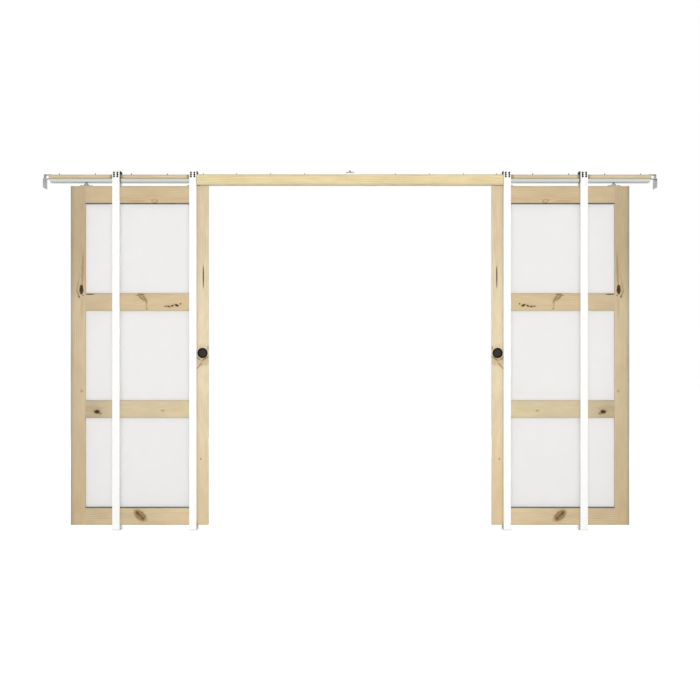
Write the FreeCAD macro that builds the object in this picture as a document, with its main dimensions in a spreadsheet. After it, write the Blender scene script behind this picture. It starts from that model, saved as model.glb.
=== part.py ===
import FreeCAD, Part
import os

import Sketcher

# A double pocket door frame with its two sliding glazed doors, in millimetres.
# +X runs along the wall, the front looks along -Y and +Z is up. The origin is under the foot
# of the left mouth stud. Each pocket holds one door, which hangs from the track in the header.

SIZES = (
    ("door_width", 824, "door leaf, edge to edge"),
    ("door_height", 2032, "door leaf, top to bottom"),
    ("door_thickness", 35, "door leaf, face to face"),
    ("stile_width", 88, "upright door members"),
    ("rail_height", 106, "level door members, all four alike"),
    ("groove_width", 8, "glazing groove in stiles and rails"),
    ("groove_depth", 10, "glazing groove in stiles and rails"),
    ("glass_thickness", 6, "frosted pane"),
    ("glass_play", 1, "room round a pane's edge inside its groove"),
    ("arris_radius", 1, "eased edges of the timber"),
    ("door_reveal", 67.75, "how far a door stands out of its pocket at rest"),
    ("floor_gap", 30, "floor to the underside of a door"),
    ("hang_gap", 21.5, "top of a door to the underside of the track"),
    ("mouth_width", 1836, "clear width between the two mouth studs"),
    ("stud_setback", 406.5, "centre of an outer stud inside the end of the header"),
    ("stud_width", 43, "face of a split stud"),
    ("stud_depth", 20, "folded depth of a split stud"),
    ("stud_gauge", 1.5, "sheet of a split stud"),
    ("stud_lip", 8, "inturned lips on the pocket side of a stud"),
    ("stud_bend", 3, "outside radius of a stud's two front folds"),
    ("stud_rise", 27.5, "stud top above the header board"),
    ("pocket_gap", 49, "between front and back studs, also the header's depth"),
    ("fixing_hole", 7, "punched holes at the top of a stud"),
    ("fixing_spread", 20.3, "the two columns of punched holes"),
    ("fixing_pitch", 11.5, "the three rows of punched holes"),
    ("fixing_edge", 19, "top row of punched holes below the stud's top"),
    ("board_thickness", 23, "header board"),
    ("pocket_spare", 130.9, "header beyond the rear edge of a door at rest"),
    ("track_setback", 8, "end of the track inside the end of the header"),
    ("track_width", 46, "aluminium track, side to side"),
    ("track_height", 23, "aluminium track, top to bottom"),
    ("track_wall", 2.5, "aluminium track"),
    ("track_slot", 13, "slot under the track"),
    ("track_bead", 1.5, "rolled bead along the track's lower corners"),
    ("fascia_drop", 1.5, "top of a fascia below the header's top"),
    ("fascia_clearance", 4, "underside of a fascia above the doors"),
    ("back_fascia_lift", 5, "underside of the back fascia above that of the front one"),
    ("saddle_gauge", 2, "steel of the stud saddles and mouth guides"),
    ("saddle_rise", 20, "saddle top above the header board"),
    ("tie_lap", 8, "saddles and mouth guides over the sides of their studs"),
    ("guide_height", 46, "mouth guide above its foot plate"),
    ("guide_sill", 15, "cross member of a mouth guide"),
    ("guide_corner", 6, "rounded upper corners of saddles and guides"),
    ("foot_width", 48, "floor plate along the wall"),
    ("foot_gauge", 2, "steel of a floor plate"),
    ("foot_lip", 12, "upturned lips of a floor plate"),
    ("foot_hole", 6, "floor screw holes"),
    ("foot_hole_spread", 24, "floor screw holes, centre to centre"),
    ("end_gap", 26.6, "end of the header to an end plate"),
    ("end_gauge", 2, "steel of an end bracket"),
    ("end_plate_height", 80, "end bracket below the header's top"),
    ("end_lap", 12, "upper flange of an end bracket over the header"),
    ("end_shelf_lap", 6, "lower flange of an end bracket under the header"),
    ("end_hole", 5, "nail holes of an end plate"),
    ("end_hole_spread", 60, "nail holes, front to back"),
    ("end_hole_rise", 30, "nail holes, lower row to upper row"),
    ("end_hole_edge", 16, "lower nail holes above the foot of an end plate"),
    ("bridge_length", 84, "centre bridge plate along the wall"),
    ("bridge_width", 40, "centre bridge plate, front to back"),
    ("bridge_height", 18.5, "centre bridge plate above the header"),
    ("bridge_gauge", 2, "steel of the centre bridge plate"),
    ("bridge_foot", 14, "feet of the centre bridge plate"),
    ("bridge_hole", 8, "hole for the centre bolt"),
    ("hanger_inset", 90, "hanger bolt inside a door's edge"),
    ("hanger_length", 75, "hanger plate along the door"),
    ("hanger_width", 30, "hanger plate, front to back"),
    ("hanger_gauge", 5, "hanger plate"),
    ("hanger_corner", 8, "rounded corners of a hanger plate"),
    ("collar_diameter", 28, "collar on a hanger plate"),
    ("collar_height", 8, "collar on a hanger plate"),
    ("bolt_diameter", 10, "hanger bolt"),
    ("bolt_play", 0.2, "hanger bolt in its collar"),
    ("trolley_length", 60, "trolley block"),
    ("trolley_width", 14, "trolley block"),
    ("trolley_height", 13, "trolley block"),
    ("trolley_lift", 1.5, "trolley block above the track's flanges"),
    ("trolley_nose", 4, "cut corners of a trolley block"),
    ("wheel_base", 36, "the two axles of a trolley"),
    ("wheel_diameter", 16, "nylon wheel"),
    ("wheel_width", 8, "nylon wheel"),
    ("wheel_side_play", 1, "wheel to the trolley block"),
    ("wheel_tread_chamfer", 1, "eased tread of a wheel"),
    ("wheel_run", 0.3, "wheel above the track's flange"),
    ("axle_diameter", 5, "trolley axle"),
    ("axle_play", 0.2, "wheel on its axle"),
    ("axle_end", 0.5, "axle past the wheel"),
    ("stop_length", 30, "rubber stop at each end of the track"),
    ("centre_stop_length", 110, "rubber stop in the middle of the track"),
    ("stop_height", 15, "rubber stops"),
    ("stop_side_play", 1.5, "rubber stops to the track's sides"),
    ("stop_clearance", 5, "trolley to an end stop, door fully open"),
    ("pull_backset", 34, "flush pull from the door's lead edge"),
    ("pull_rise", 1031, "flush pull above the door's underside"),
    ("pull_diameter", 62, "rim of a flush pull"),
    ("pull_rim", 1.5, "rim of a flush pull, proud of the door"),
    ("pull_cup", 54, "cup of a flush pull, outside"),
    ("pull_depth", 11, "cup of a flush pull, outside"),
    ("pull_wall", 1.5, "cup of a flush pull"),
    ("pull_play", 0.6, "cup of a flush pull in its bore"),
)

doc = FreeCAD.newDocument("pocket_door_frame")
sheet = doc.addObject("Spreadsheet::Sheet", "Sizes")
for row, (alias, size, note) in enumerate(SIZES, start=1):
    sheet.set(f"A{row}", note)
    sheet.set(f"B{row}", str(size))
    sheet.setAlias(f"B{row}", alias)
doc.recompute()

# Lines and planes that several pieces share, as expressions of the sheet.
# A distance along the wall is measured from the middle of the doorway.
MIDDLE = "(Sizes.mouth_width / 2 + Sizes.stud_width / 2)"
DEPTH = "(Sizes.pocket_gap + 2 * Sizes.stud_depth)"
DOOR_TOP = "(Sizes.floor_gap + Sizes.door_height)"
FASCIA_UNDER = f"({DOOR_TOP} + Sizes.fascia_clearance)"
TRACK_UNDER = f"({DOOR_TOP} + Sizes.hang_gap)"
BOARD_UNDER = f"({TRACK_UNDER} + Sizes.track_height)"
BOARD_TOP = f"({BOARD_UNDER} + Sizes.board_thickness)"
STUD_TOP = f"({BOARD_TOP} + Sizes.stud_rise)"
TIE_HALF = "(Sizes.pocket_gap / 2 + Sizes.tie_lap)"
LEAD_EDGE = "(Sizes.mouth_width / 2 - Sizes.door_reveal)"
REAR_EDGE = f"({LEAD_EDGE} + Sizes.door_width)"
DOOR_MIDDLE = f"({LEAD_EDGE} + Sizes.door_width / 2)"
HEADER_HALF = f"({REAR_EDGE} + Sizes.pocket_spare)"
STUD_LINES = {
    "outer": f"({HEADER_HALF} - Sizes.stud_setback)",
    "mouth": MIDDLE,
}
HANGER_LINES = {
    "rear": f"({REAR_EDGE} - Sizes.hanger_inset)",
    "lead": f"({LEAD_EDGE} + Sizes.hanger_inset)",
}
LITE_HEIGHT = "((Sizes.door_height - 4 * Sizes.rail_height) / 3)"
RAIL_STEP = f"(Sizes.rail_height + {LITE_HEIGHT})"
BETWEEN_STILES = "(Sizes.door_width - 2 * Sizes.stile_width)"
AXLE_LINE = "(Sizes.track_wall + Sizes.wheel_run + Sizes.wheel_diameter / 2)"
WHEEL_LINE = "(Sizes.trolley_width / 2 + Sizes.wheel_side_play + Sizes.wheel_width / 2)"

SIDES = ("left", "right")
TURN = {"left": 0, "right": 180}
nodes = []


def measure(text):
    """The present value of an expression, in millimetres."""
    return float(sheet.evalExpression(text))


def along_wall(side, distance):
    """The X of a point so far from the middle of the doorway, on one side of it."""
    sign = "-" if side == "left" else "+"
    return f"{MIDDLE} {sign} ({distance})"


def place(piece, along="0", across="0", up="0", turn=0):
    """Seats a piece in the frame, turned about the vertical by whole quarter turns."""
    upright = FreeCAD.Vector(0, 0, 1)
    piece.Placement = FreeCAD.Placement(FreeCAD.Vector(), FreeCAD.Rotation(upright, turn))
    for letter, text in zip("xyz", (along, across, up)):
        piece.setExpression(f"Placement.Base.{letter}", text)
    return piece


def node(piece, name):
    """Names a piece that is written as a node of its own."""
    piece.Label = name
    nodes.append(piece)
    return piece


def group(name, pieces):
    """One node of several like pieces that don't touch."""
    compound = doc.addObject("Part::Compound", name)
    compound.Links = pieces
    return node(compound, name)


def new_body(name):
    return doc.addObject("PartDesign::Body", name)


def new_sketch(body, role, lift="0"):
    """An empty sketch on one of the body's own planes, lifted along the plane's normal."""
    sketch = body.newObject("Sketcher::SketchObject", f"{body.Name}_sketch")
    plane = next(f for f in body.Origin.OriginFeatures if f.Role == role)
    sketch.AttachmentSupport = (plane, [""])
    sketch.MapMode = "FlatFace"
    sketch.setExpression("AttachmentOffset.Base.z", lift)
    return sketch


def hold(sketch, kind, *ends_and_text):
    """Adds a sketch dimension that an expression drives."""
    *ends, text = ends_and_text
    number = sketch.addConstraint(Sketcher.Constraint(kind, *ends, measure(text)))
    sketch.setExpression(f"Constraints[{number}]", text)


def draw_outline(sketch, points):
    """A closed outline of straight edges, each corner held by its two coordinates."""
    corners = [FreeCAD.Vector(measure(across), measure(up), 0) for across, up in points]
    first = sketch.GeometryCount
    count = len(points)
    for number, corner in enumerate(corners):
        sketch.addGeometry(Part.LineSegment(corner, corners[(number + 1) % count]))
    for number in range(count):
        following = first + (number + 1) % count
        sketch.addConstraint(Sketcher.Constraint("Coincident", first + number, 2, following, 1))
    for number, (across, up) in enumerate(points, start=first):
        hold(sketch, "DistanceX", -1, 1, number, 1, across)
        hold(sketch, "DistanceY", -1, 1, number, 1, up)


def draw_circles(sketch, centres, diameter):
    """Circles of one diameter, each centre held by its two coordinates."""
    upright = FreeCAD.Vector(0, 0, 1)
    for across, up in centres:
        centre = FreeCAD.Vector(measure(across), measure(up), 0)
        number = sketch.addGeometry(Part.Circle(centre, upright, measure(diameter) / 2))
        hold(sketch, "DistanceX", -1, 1, number, 3, across)
        hold(sketch, "DistanceY", -1, 1, number, 3, up)
        hold(sketch, "Diameter", number, diameter)


def pad(body, sketch, length, symmetric=False, backwards=False):
    feature = body.newObject("PartDesign::Pad", f"{body.Name}_pad")
    feature.Profile = sketch
    feature.SideType = "Symmetric" if symmetric else "One side"
    feature.Reversed = backwards
    feature.setExpression("Length", length)
    return feature


def pocket(body, sketch, length, symmetric=False):
    feature = body.newObject("PartDesign::Pocket", f"{body.Name}_pocket")
    feature.Profile = sketch
    feature.SideType = "Symmetric" if symmetric else "One side"
    feature.setExpression("Length", length)
    return feature


def extruded(name, role, points, length, symmetric=True):
    """A body made by carrying one outline along a straight line."""
    body = new_body(name)
    sketch = new_sketch(body, role)
    draw_outline(sketch, points)
    pad(body, sketch, length, symmetric)
    doc.recompute()
    return body


def turned(name, points):
    """A body of revolution about its own Y axis, from (radius, along the axis) points."""
    body = new_body(name)
    sketch = new_sketch(body, "XY_Plane")
    draw_outline(sketch, points)
    spin = body.newObject("PartDesign::Revolution", f"{name}_spin")
    spin.Profile = sketch
    spin.ReferenceAxis = (sketch, ["V_Axis"])
    doc.recompute()
    return body


def edges_where(body, test):
    """The names of the straight edges of a body whose two ends pass a test."""
    found = []
    for number, edge in enumerate(body.Tip.Shape.Edges, start=1):
        ends = [vertex.Point for vertex in edge.Vertexes]
        if len(ends) == 2 and isinstance(edge.Curve, Part.Line) and test(*ends):
            found.append(f"Edge{number}")
    return found


def round_over(body, radius, test):
    """Rounds the straight edges that pass a test."""
    names = edges_where(body, test)
    base = body.Tip
    feature = body.newObject("PartDesign::Fillet", f"{body.Name}_rounding")
    feature.Base = (base, names)
    feature.setExpression("Radius", radius)
    doc.recompute()
    return feature


def near(value, text):
    """True where a coordinate lies on the line that an expression gives."""
    return abs(value - measure(text)) < 1e-6


def on_lines(point, axis, texts):
    return any(near(point[axis], text) for text in texts)


def is_along(start, end, axis):
    """True for an edge that runs along one axis only."""
    others = [number for number in range(3) if number != axis]
    return all(abs(start[number] - end[number]) < 1e-6 for number in others)


def ease_corners(body, axis, first, second, radius="Sizes.arris_radius"):
    """Rounds the edges along an axis that stand on given lines of the two other axes."""
    across, up = [number for number in range(3) if number != axis]

    def at_corner(start, end):
        on_both = on_lines(start, across, first) and on_lines(start, up, second)
        return is_along(start, end, axis) and on_both

    return round_over(body, radius, at_corner)


# Header board, track and fascias.
def header_board():
    half = "Sizes.pocket_gap / 2"
    points = (
        (f"-{half}", "0"),
        (half, "0"),
        (half, "Sizes.board_thickness"),
        (f"-{half}", "Sizes.board_thickness"),
    )
    body = extruded("header_board", "YZ_Plane", points, f"2 * {HEADER_HALF}")
    ease_corners(body, 0, (half, f"-{half}"), ("Sizes.board_thickness",))
    return node(place(body, MIDDLE, up=BOARD_UNDER), "header_board")


def track():
    """A C section open below, with a rolled bead along each lower corner."""
    side = "Sizes.track_width / 2"
    bead = f"({side} + Sizes.track_bead)"
    inner = f"({side} - Sizes.track_wall)"
    slot = "Sizes.track_slot / 2"
    wall = "Sizes.track_wall"
    ceiling = "(Sizes.track_height - Sizes.track_wall)"
    half = (
        (slot, "0"),
        (side, "0"),
        (bead, "Sizes.track_bead"),
        (bead, "2 * Sizes.track_bead"),
        (side, "3 * Sizes.track_bead"),
        (side, "Sizes.track_height"),
    )
    hollow = ((inner, ceiling), (inner, wall), (slot, wall))
    mirrored = [(f"-({across})", up) for across, up in half[::-1]]
    mirrored_hollow = [(f"-({across})", up) for across, up in hollow[::-1]]
    points = (*half, *mirrored, *mirrored_hollow, *hollow)
    body = extruded("track", "YZ_Plane", points, f"2 * ({HEADER_HALF} - Sizes.track_setback)")
    return node(place(body, MIDDLE, up=TRACK_UNDER), "track")


def fascia(name, across, underside):
    height = f"({BOARD_TOP} - Sizes.fascia_drop - {underside})"
    points = (
        ("0", "0"),
        ("Sizes.stud_depth", "0"),
        ("Sizes.stud_depth", height),
        ("0", height),
    )
    length = "Sizes.mouth_width - 2 * Sizes.saddle_gauge"
    body = extruded(name, "YZ_Plane", points, length)
    ease_corners(body, 0, ("0", "Sizes.stud_depth"), ("0", height))
    return node(place(body, MIDDLE, across, underside), name)


# Split studs, with what holds each pair at its top and foot.
def stud(name, along, across, turn):
    """A folded steel channel that is open to the pocket, with punched holes at its top."""
    side = "Sizes.stud_width / 2"
    inner = f"({side} - Sizes.stud_gauge)"
    lip = f"({side} - Sizes.stud_lip)"
    back = "Sizes.stud_depth"
    behind = "(Sizes.stud_depth - Sizes.stud_gauge)"
    half = (
        (side, "0"),
        (side, back),
        (lip, back),
        (lip, behind),
        (inner, behind),
        (inner, "Sizes.stud_gauge"),
    )
    mirrored = [(f"-({x})", y) for x, y in half[::-1]]
    height = f"({STUD_TOP} - Sizes.foot_gauge)"
    body = extruded(name, "XY_Plane", (*half, *mirrored), height, symmetric=False)
    ease_corners(body, 2, (side, f"-{side}"), ("0",), "Sizes.stud_bend")
    columns = ("Sizes.fixing_spread / 2", "-Sizes.fixing_spread / 2")
    rows = [f"{height} - Sizes.fixing_edge - {number} * Sizes.fixing_pitch" for number in range(3)]
    holes = new_sketch(body, "XZ_Plane")
    draw_circles(holes, [(column, line) for column in columns for line in rows], "Sizes.fixing_hole")
    pocket(body, holes, "Sizes.stud_depth / 2")
    return node(place(body, along, across, "Sizes.foot_gauge", turn), name)


def saddle(side, line):
    """A plate over the header that ties the inner sides of a front and a back stud."""
    outer = TIE_HALF
    inner = "(Sizes.pocket_gap / 2)"
    board_top = "(Sizes.track_height + Sizes.board_thickness)"
    top = f"({board_top} + Sizes.saddle_rise)"
    points = (
        (f"-{outer}", "0"),
        (f"-{inner}", "0"),
        (f"-{inner}", board_top),
        (inner, board_top),
        (inner, "0"),
        (outer, "0"),
        (outer, top),
        (f"-{outer}", top),
    )
    name = f"{side}_{line}_saddle"
    body = extruded(name, "YZ_Plane", points, "Sizes.saddle_gauge", symmetric=False)
    ease_corners(body, 0, (outer, f"-{outer}"), (top,), "Sizes.guide_corner")
    edge = f"{STUD_LINES[line]} - Sizes.stud_width / 2"
    return node(place(body, along_wall(side, edge), up=TRACK_UNDER, turn=TURN[side]), name)


def mouth_guide(side):
    """An upright U at the pocket's mouth that keeps the foot of the door between the studs."""
    outer = TIE_HALF
    inner = "(Sizes.pocket_gap / 2)"
    points = (
        (f"-{outer}", "0"),
        (outer, "0"),
        (outer, "Sizes.guide_height"),
        (inner, "Sizes.guide_height"),
        (inner, "Sizes.guide_sill"),
        (f"-{inner}", "Sizes.guide_sill"),
        (f"-{inner}", "Sizes.guide_height"),
        (f"-{outer}", "Sizes.guide_height"),
    )
    name = f"{side}_mouth_guide"
    body = extruded(name, "YZ_Plane", points, "Sizes.saddle_gauge", symmetric=False)
    ease_corners(body, 0, (outer, f"-{outer}"), ("Sizes.guide_height",), "Sizes.guide_corner")
    edge = "Sizes.mouth_width / 2"
    return node(place(body, along_wall(side, edge), up="Sizes.foot_gauge", turn=TURN[side]), name)


def floor_plate(side, line):
    """A shallow tray that a front and a back stud stand in, screwed to the floor between them."""
    stud_face = f"({DEPTH} / 2)"
    outer = f"({stud_face} + Sizes.foot_gauge)"
    points = (
        (f"-{outer}", "0"),
        (outer, "0"),
        (outer, "Sizes.foot_lip"),
        (stud_face, "Sizes.foot_lip"),
        (stud_face, "Sizes.foot_gauge"),
        (f"-{stud_face}", "Sizes.foot_gauge"),
        (f"-{stud_face}", "Sizes.foot_lip"),
        (f"-{outer}", "Sizes.foot_lip"),
    )
    name = f"{side}_{line}_floor_plate"
    body = extruded(name, "YZ_Plane", points, "Sizes.foot_width")
    holes = new_sketch(body, "XY_Plane")
    spread = "Sizes.foot_hole_spread / 2"
    draw_circles(holes, (("0", spread), ("0", f"-{spread}")), "Sizes.foot_hole")
    pocket(body, holes, "4 * Sizes.foot_gauge", symmetric=True)
    return node(place(body, along_wall(side, STUD_LINES[line])), name)


# End brackets and the bridge plate in the middle of the header.
def end_bracket(side):
    """An end plate with two flanges that take the end of the header board between them."""
    gauge = "Sizes.end_gauge"
    shelf = "(-Sizes.board_thickness)"
    under = f"({shelf} - {gauge})"
    upper_reach = "(Sizes.end_gap + Sizes.end_lap)"
    lower_reach = "(Sizes.end_gap + Sizes.end_shelf_lap)"
    points = (
        (f"-{gauge}", gauge),
        (upper_reach, gauge),
        (upper_reach, "0"),
        ("0", "0"),
        ("0", shelf),
        (lower_reach, shelf),
        (lower_reach, under),
        (f"-{gauge}", under),
    )
    name = f"{side}_end_bracket"
    body = extruded(name, "XZ_Plane", points, "Sizes.pocket_gap")
    plate = new_sketch(body, "XZ_Plane")
    foot = "(-Sizes.end_plate_height)"
    draw_outline(plate, ((f"-{gauge}", under), ("0", under), ("0", foot), (f"-{gauge}", foot)))
    pad(body, plate, DEPTH, symmetric=True)
    holes = new_sketch(body, "YZ_Plane")
    columns = ("Sizes.end_hole_spread / 2", "-Sizes.end_hole_spread / 2")
    low = f"({foot} + Sizes.end_hole_edge)"
    rows = (low, f"{low} + Sizes.end_hole_rise")
    draw_circles(holes, [(column, line) for column in columns for line in rows], "Sizes.end_hole")
    pocket(body, holes, "4 * Sizes.end_gauge", symmetric=True)
    inner_face = f"{HEADER_HALF} + Sizes.end_gap"
    return node(place(body, along_wall(side, inner_face), up=BOARD_TOP, turn=TURN[side]), name)


def centre_bridge():
    """A folded hat plate on the header, bored for the bolt that bears on the lintel."""
    end = "(Sizes.bridge_length / 2)"
    leg = f"({end} - Sizes.bridge_foot)"
    inner = f"({leg} - Sizes.bridge_gauge)"
    top = "Sizes.bridge_height"
    under = "(Sizes.bridge_height - Sizes.bridge_gauge)"
    half = (
        (inner, under),
        (inner, "0"),
        (end, "0"),
        (end, "Sizes.bridge_gauge"),
        (leg, "Sizes.bridge_gauge"),
        (leg, top),
    )
    mirrored = [(f"-({across})", up) for across, up in half[::-1]]
    body = extruded("centre_bridge", "XZ_Plane", (*half, *mirrored), "Sizes.bridge_width")
    hole = new_sketch(body, "XY_Plane")
    draw_circles(hole, (("0", "0"),), "Sizes.bridge_hole")
    pocket(body, hole, "4 * Sizes.bridge_height", symmetric=True)
    return node(place(body, MIDDLE, up=BOARD_TOP), "centre_bridge")


def track_stops():
    """Rubber blocks that lie on the track's flanges, one in the middle and one at each end."""
    rear_trolley_end = f"{HANGER_LINES['rear']} + Sizes.door_reveal + Sizes.trolley_length / 2"
    end_line = f"{rear_trolley_end} + Sizes.stop_clearance + Sizes.stop_length / 2"
    blocks = (
        ("left_end_stop", along_wall("left", end_line), "Sizes.stop_length"),
        ("centre_stop", MIDDLE, "Sizes.centre_stop_length"),
        ("right_end_stop", along_wall("right", end_line), "Sizes.stop_length"),
    )
    width = "(Sizes.track_width - 2 * Sizes.track_wall - 2 * Sizes.stop_side_play)"
    pieces = []
    for name, along, length in blocks:
        half = f"({length} / 2)"
        points = (
            (f"-{half}", "0"),
            (half, "0"),
            (half, "Sizes.stop_height"),
            (f"-{half}", "Sizes.stop_height"),
        )
        body = extruded(name, "XZ_Plane", points, width)
        ease_corners(body, 1, (half, f"-{half}"), ("Sizes.stop_height",))
        pieces.append(place(body, along, up=f"{TRACK_UNDER} + Sizes.track_wall"))
    return group("track_stops", pieces)


# Door leaves: stiles and rails grooved for the glass, flush pulls, hangers.
def stile(side, name, edge, turn, bored):
    """An upright with its outer edge at local X 0 and its glazing groove on the other edge."""
    face = "(Sizes.door_thickness / 2)"
    groove = "(Sizes.groove_width / 2)"
    bottom = "(Sizes.stile_width - Sizes.groove_depth)"
    points = (
        ("0", f"-{face}"),
        ("Sizes.stile_width", f"-{face}"),
        ("Sizes.stile_width", f"-{groove}"),
        (bottom, f"-{groove}"),
        (bottom, groove),
        ("Sizes.stile_width", groove),
        ("Sizes.stile_width", face),
        ("0", face),
    )
    label = f"{side}_door_{name}"
    body = extruded(label, "XY_Plane", points, "Sizes.door_height", symmetric=False)
    ease_corners(body, 2, ("0", "Sizes.stile_width"), (face, f"-{face}"))
    if bored:
        bore_depth = "(Sizes.pull_depth + Sizes.pull_play)"
        for lift in (face, f"-{face} + {bore_depth}"):
            bore = new_sketch(body, "XZ_Plane", lift)
            centre = ("Sizes.pull_backset", "Sizes.pull_rise")
            draw_circles(bore, (centre,), "(Sizes.pull_cup + 2 * Sizes.pull_play)")
            pocket(body, bore, bore_depth)
    return node(place(body, along_wall(side, edge), up="Sizes.floor_gap", turn=turn), label)


def rail(side, name, number, groove_below, groove_above):
    """A level member with a stub tongue at each end that fits the grooves of the stiles."""
    face = "(Sizes.door_thickness / 2)"
    groove = "(Sizes.groove_width / 2)"
    height = "Sizes.rail_height"
    low = "Sizes.groove_depth" if groove_below else "0"
    high = "(Sizes.rail_height - Sizes.groove_depth)" if groove_above else height
    points = [(f"-{face}", height), (f"-{face}", "0")]
    if groove_below:
        points += [(f"-{groove}", "0"), (f"-{groove}", low), (groove, low), (groove, "0")]
    points += [(face, "0"), (face, height)]
    if groove_above:
        points += [(groove, height), (groove, high), (f"-{groove}", high), (f"-{groove}", height)]
    label = f"{side}_door_{name}"
    body = extruded(label, "YZ_Plane", points, BETWEEN_STILES)
    ease_corners(body, 0, (face, f"-{face}"), ("0", height))
    tongue = new_sketch(body, "YZ_Plane")
    draw_outline(tongue, ((f"-{groove}", low), (groove, low), (groove, high), (f"-{groove}", high)))
    pad(body, tongue, f"{BETWEEN_STILES} + 2 * Sizes.groove_depth", symmetric=True)
    up = f"Sizes.floor_gap + {number} * {RAIL_STEP}"
    return node(place(body, along_wall(side, DOOR_MIDDLE), up=up, turn=TURN[side]), label)


def glass(side):
    """Three panes that stand on the grooves of the rails below them."""
    width = f"({BETWEEN_STILES} + 2 * Sizes.groove_depth - 2 * Sizes.glass_play)"
    height = f"({LITE_HEIGHT} + 2 * Sizes.groove_depth - Sizes.glass_play)"
    panes = []
    for number, name in enumerate(("lower", "middle", "upper")):
        pane = doc.addObject("Part::Box", f"{side}_{name}_pane")
        pane.setExpression("Length", width)
        pane.setExpression("Width", "Sizes.glass_thickness")
        pane.setExpression("Height", height)
        rail_top = f"Sizes.floor_gap + Sizes.rail_height + {number} * {RAIL_STEP}"
        corner = f"{along_wall(side, DOOR_MIDDLE)} - {width} / 2"
        up = f"{rail_top} - Sizes.groove_depth"
        panes.append(place(pane, corner, "-Sizes.glass_thickness / 2", up))
    return group(f"{side}_door_glass", panes)


def pulls(side):
    """A round flush cup in each face of the door, near its lead edge."""
    cup = "(Sizes.pull_cup / 2)"
    inside = f"({cup} - Sizes.pull_wall)"
    rim = "(Sizes.pull_diameter / 2)"
    floor = "(Sizes.pull_depth - Sizes.pull_wall)"
    points = (
        ("0", "Sizes.pull_depth"),
        (cup, "Sizes.pull_depth"),
        (cup, "0"),
        (rim, "0"),
        (rim, "-Sizes.pull_rim / 3"),
        (f"({rim} - Sizes.pull_rim)", "-Sizes.pull_rim"),
        (inside, "-Sizes.pull_rim"),
        (inside, floor),
        ("0", floor),
    )
    along = along_wall(side, f"{LEAD_EDGE} + Sizes.pull_backset")
    up = "Sizes.floor_gap + Sizes.pull_rise"
    pieces = []
    for name, across, turn in (
        ("front", "-Sizes.door_thickness / 2", 0),
        ("back", "Sizes.door_thickness / 2", 180),
    ):
        piece = turned(f"{side}_{name}_pull", points)
        pieces.append(place(piece, along, across, up, turn))
    return group(f"{side}_door_pulls", pieces)


def hanger_plate(side, end):
    """A plate on the door's top with a collar that takes the hanger bolt."""
    x_half = "(Sizes.hanger_length / 2)"
    y_half = "(Sizes.hanger_width / 2)"
    points = (
        (f"-{x_half}", f"-{y_half}"),
        (x_half, f"-{y_half}"),
        (x_half, y_half),
        (f"-{x_half}", y_half),
    )
    name = f"{side}_{end}_hanger"
    body = extruded(name, "XY_Plane", points, "Sizes.hanger_gauge", symmetric=False)
    corners = (x_half, f"-{x_half}"), (y_half, f"-{y_half}")
    ease_corners(body, 2, *corners, "Sizes.hanger_corner")
    collar = new_sketch(body, "XY_Plane", "Sizes.hanger_gauge")
    draw_circles(collar, (("0", "0"),), "Sizes.collar_diameter")
    draw_circles(collar, (("0", "0"),), "(Sizes.bolt_diameter + Sizes.bolt_play)")
    pad(body, collar, "Sizes.collar_height")
    return place(body, along_wall(side, HANGER_LINES[end]), up=DOOR_TOP)


def trolley(side, end):
    """A block in the track with its two axles and the bolt that hangs down through the slot."""
    end_line = "(Sizes.trolley_length / 2)"
    nose = f"({end_line} - Sizes.trolley_nose)"
    low = "(Sizes.track_wall + Sizes.trolley_lift)"
    high = f"({low} + Sizes.trolley_height)"
    shoulder = f"({high} - Sizes.trolley_nose)"
    points = (
        (f"-{end_line}", low),
        (end_line, low),
        (end_line, shoulder),
        (nose, high),
        (f"-{nose}", high),
        (f"-{end_line}", shoulder),
    )
    name = f"{side}_{end}_trolley"
    body = extruded(name, "XZ_Plane", points, "Sizes.trolley_width")
    axles = new_sketch(body, "XZ_Plane")
    half_base = "(Sizes.wheel_base / 2)"
    centres = ((half_base, AXLE_LINE), (f"-{half_base}", AXLE_LINE))
    draw_circles(axles, centres, "Sizes.axle_diameter")
    pad(body, axles, f"2 * ({WHEEL_LINE} + Sizes.wheel_width / 2 + Sizes.axle_end)", symmetric=True)
    bolt = new_sketch(body, "XY_Plane", low)
    draw_circles(bolt, (("0", "0"),), "Sizes.bolt_diameter")
    pad(body, bolt, f"{low} + Sizes.hang_gap - Sizes.hanger_gauge", backwards=True)
    return place(body, along_wall(side, HANGER_LINES[end]), up=TRACK_UNDER)


def wheels(side):
    """Four wheels on each trolley, two on each side of the slot."""
    bore = "((Sizes.axle_diameter + Sizes.axle_play) / 2)"
    tread = "(Sizes.wheel_diameter / 2)"
    half = "(Sizes.wheel_width / 2)"
    chamfer = "Sizes.wheel_tread_chamfer"
    points = (
        (bore, f"-{half}"),
        (f"({tread} - {chamfer})", f"-{half}"),
        (tread, f"-{half} + {chamfer}"),
        (tread, f"{half} - {chamfer}"),
        (f"({tread} - {chamfer})", half),
        (bore, half),
    )
    pieces = []
    for end, line in HANGER_LINES.items():
        for axle in ("-", "+"):
            for row_sign in ("-", "+"):
                piece = turned(f"{side}_{end}_wheel_{len(pieces) + 1}", points)
                along = f"{along_wall(side, line)} {axle} Sizes.wheel_base / 2"
                across = f"{row_sign}{WHEEL_LINE}"
                pieces.append(place(piece, along, across, f"{TRACK_UNDER} + {AXLE_LINE}"))
    return group(f"{side}_door_wheels", pieces)


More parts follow.
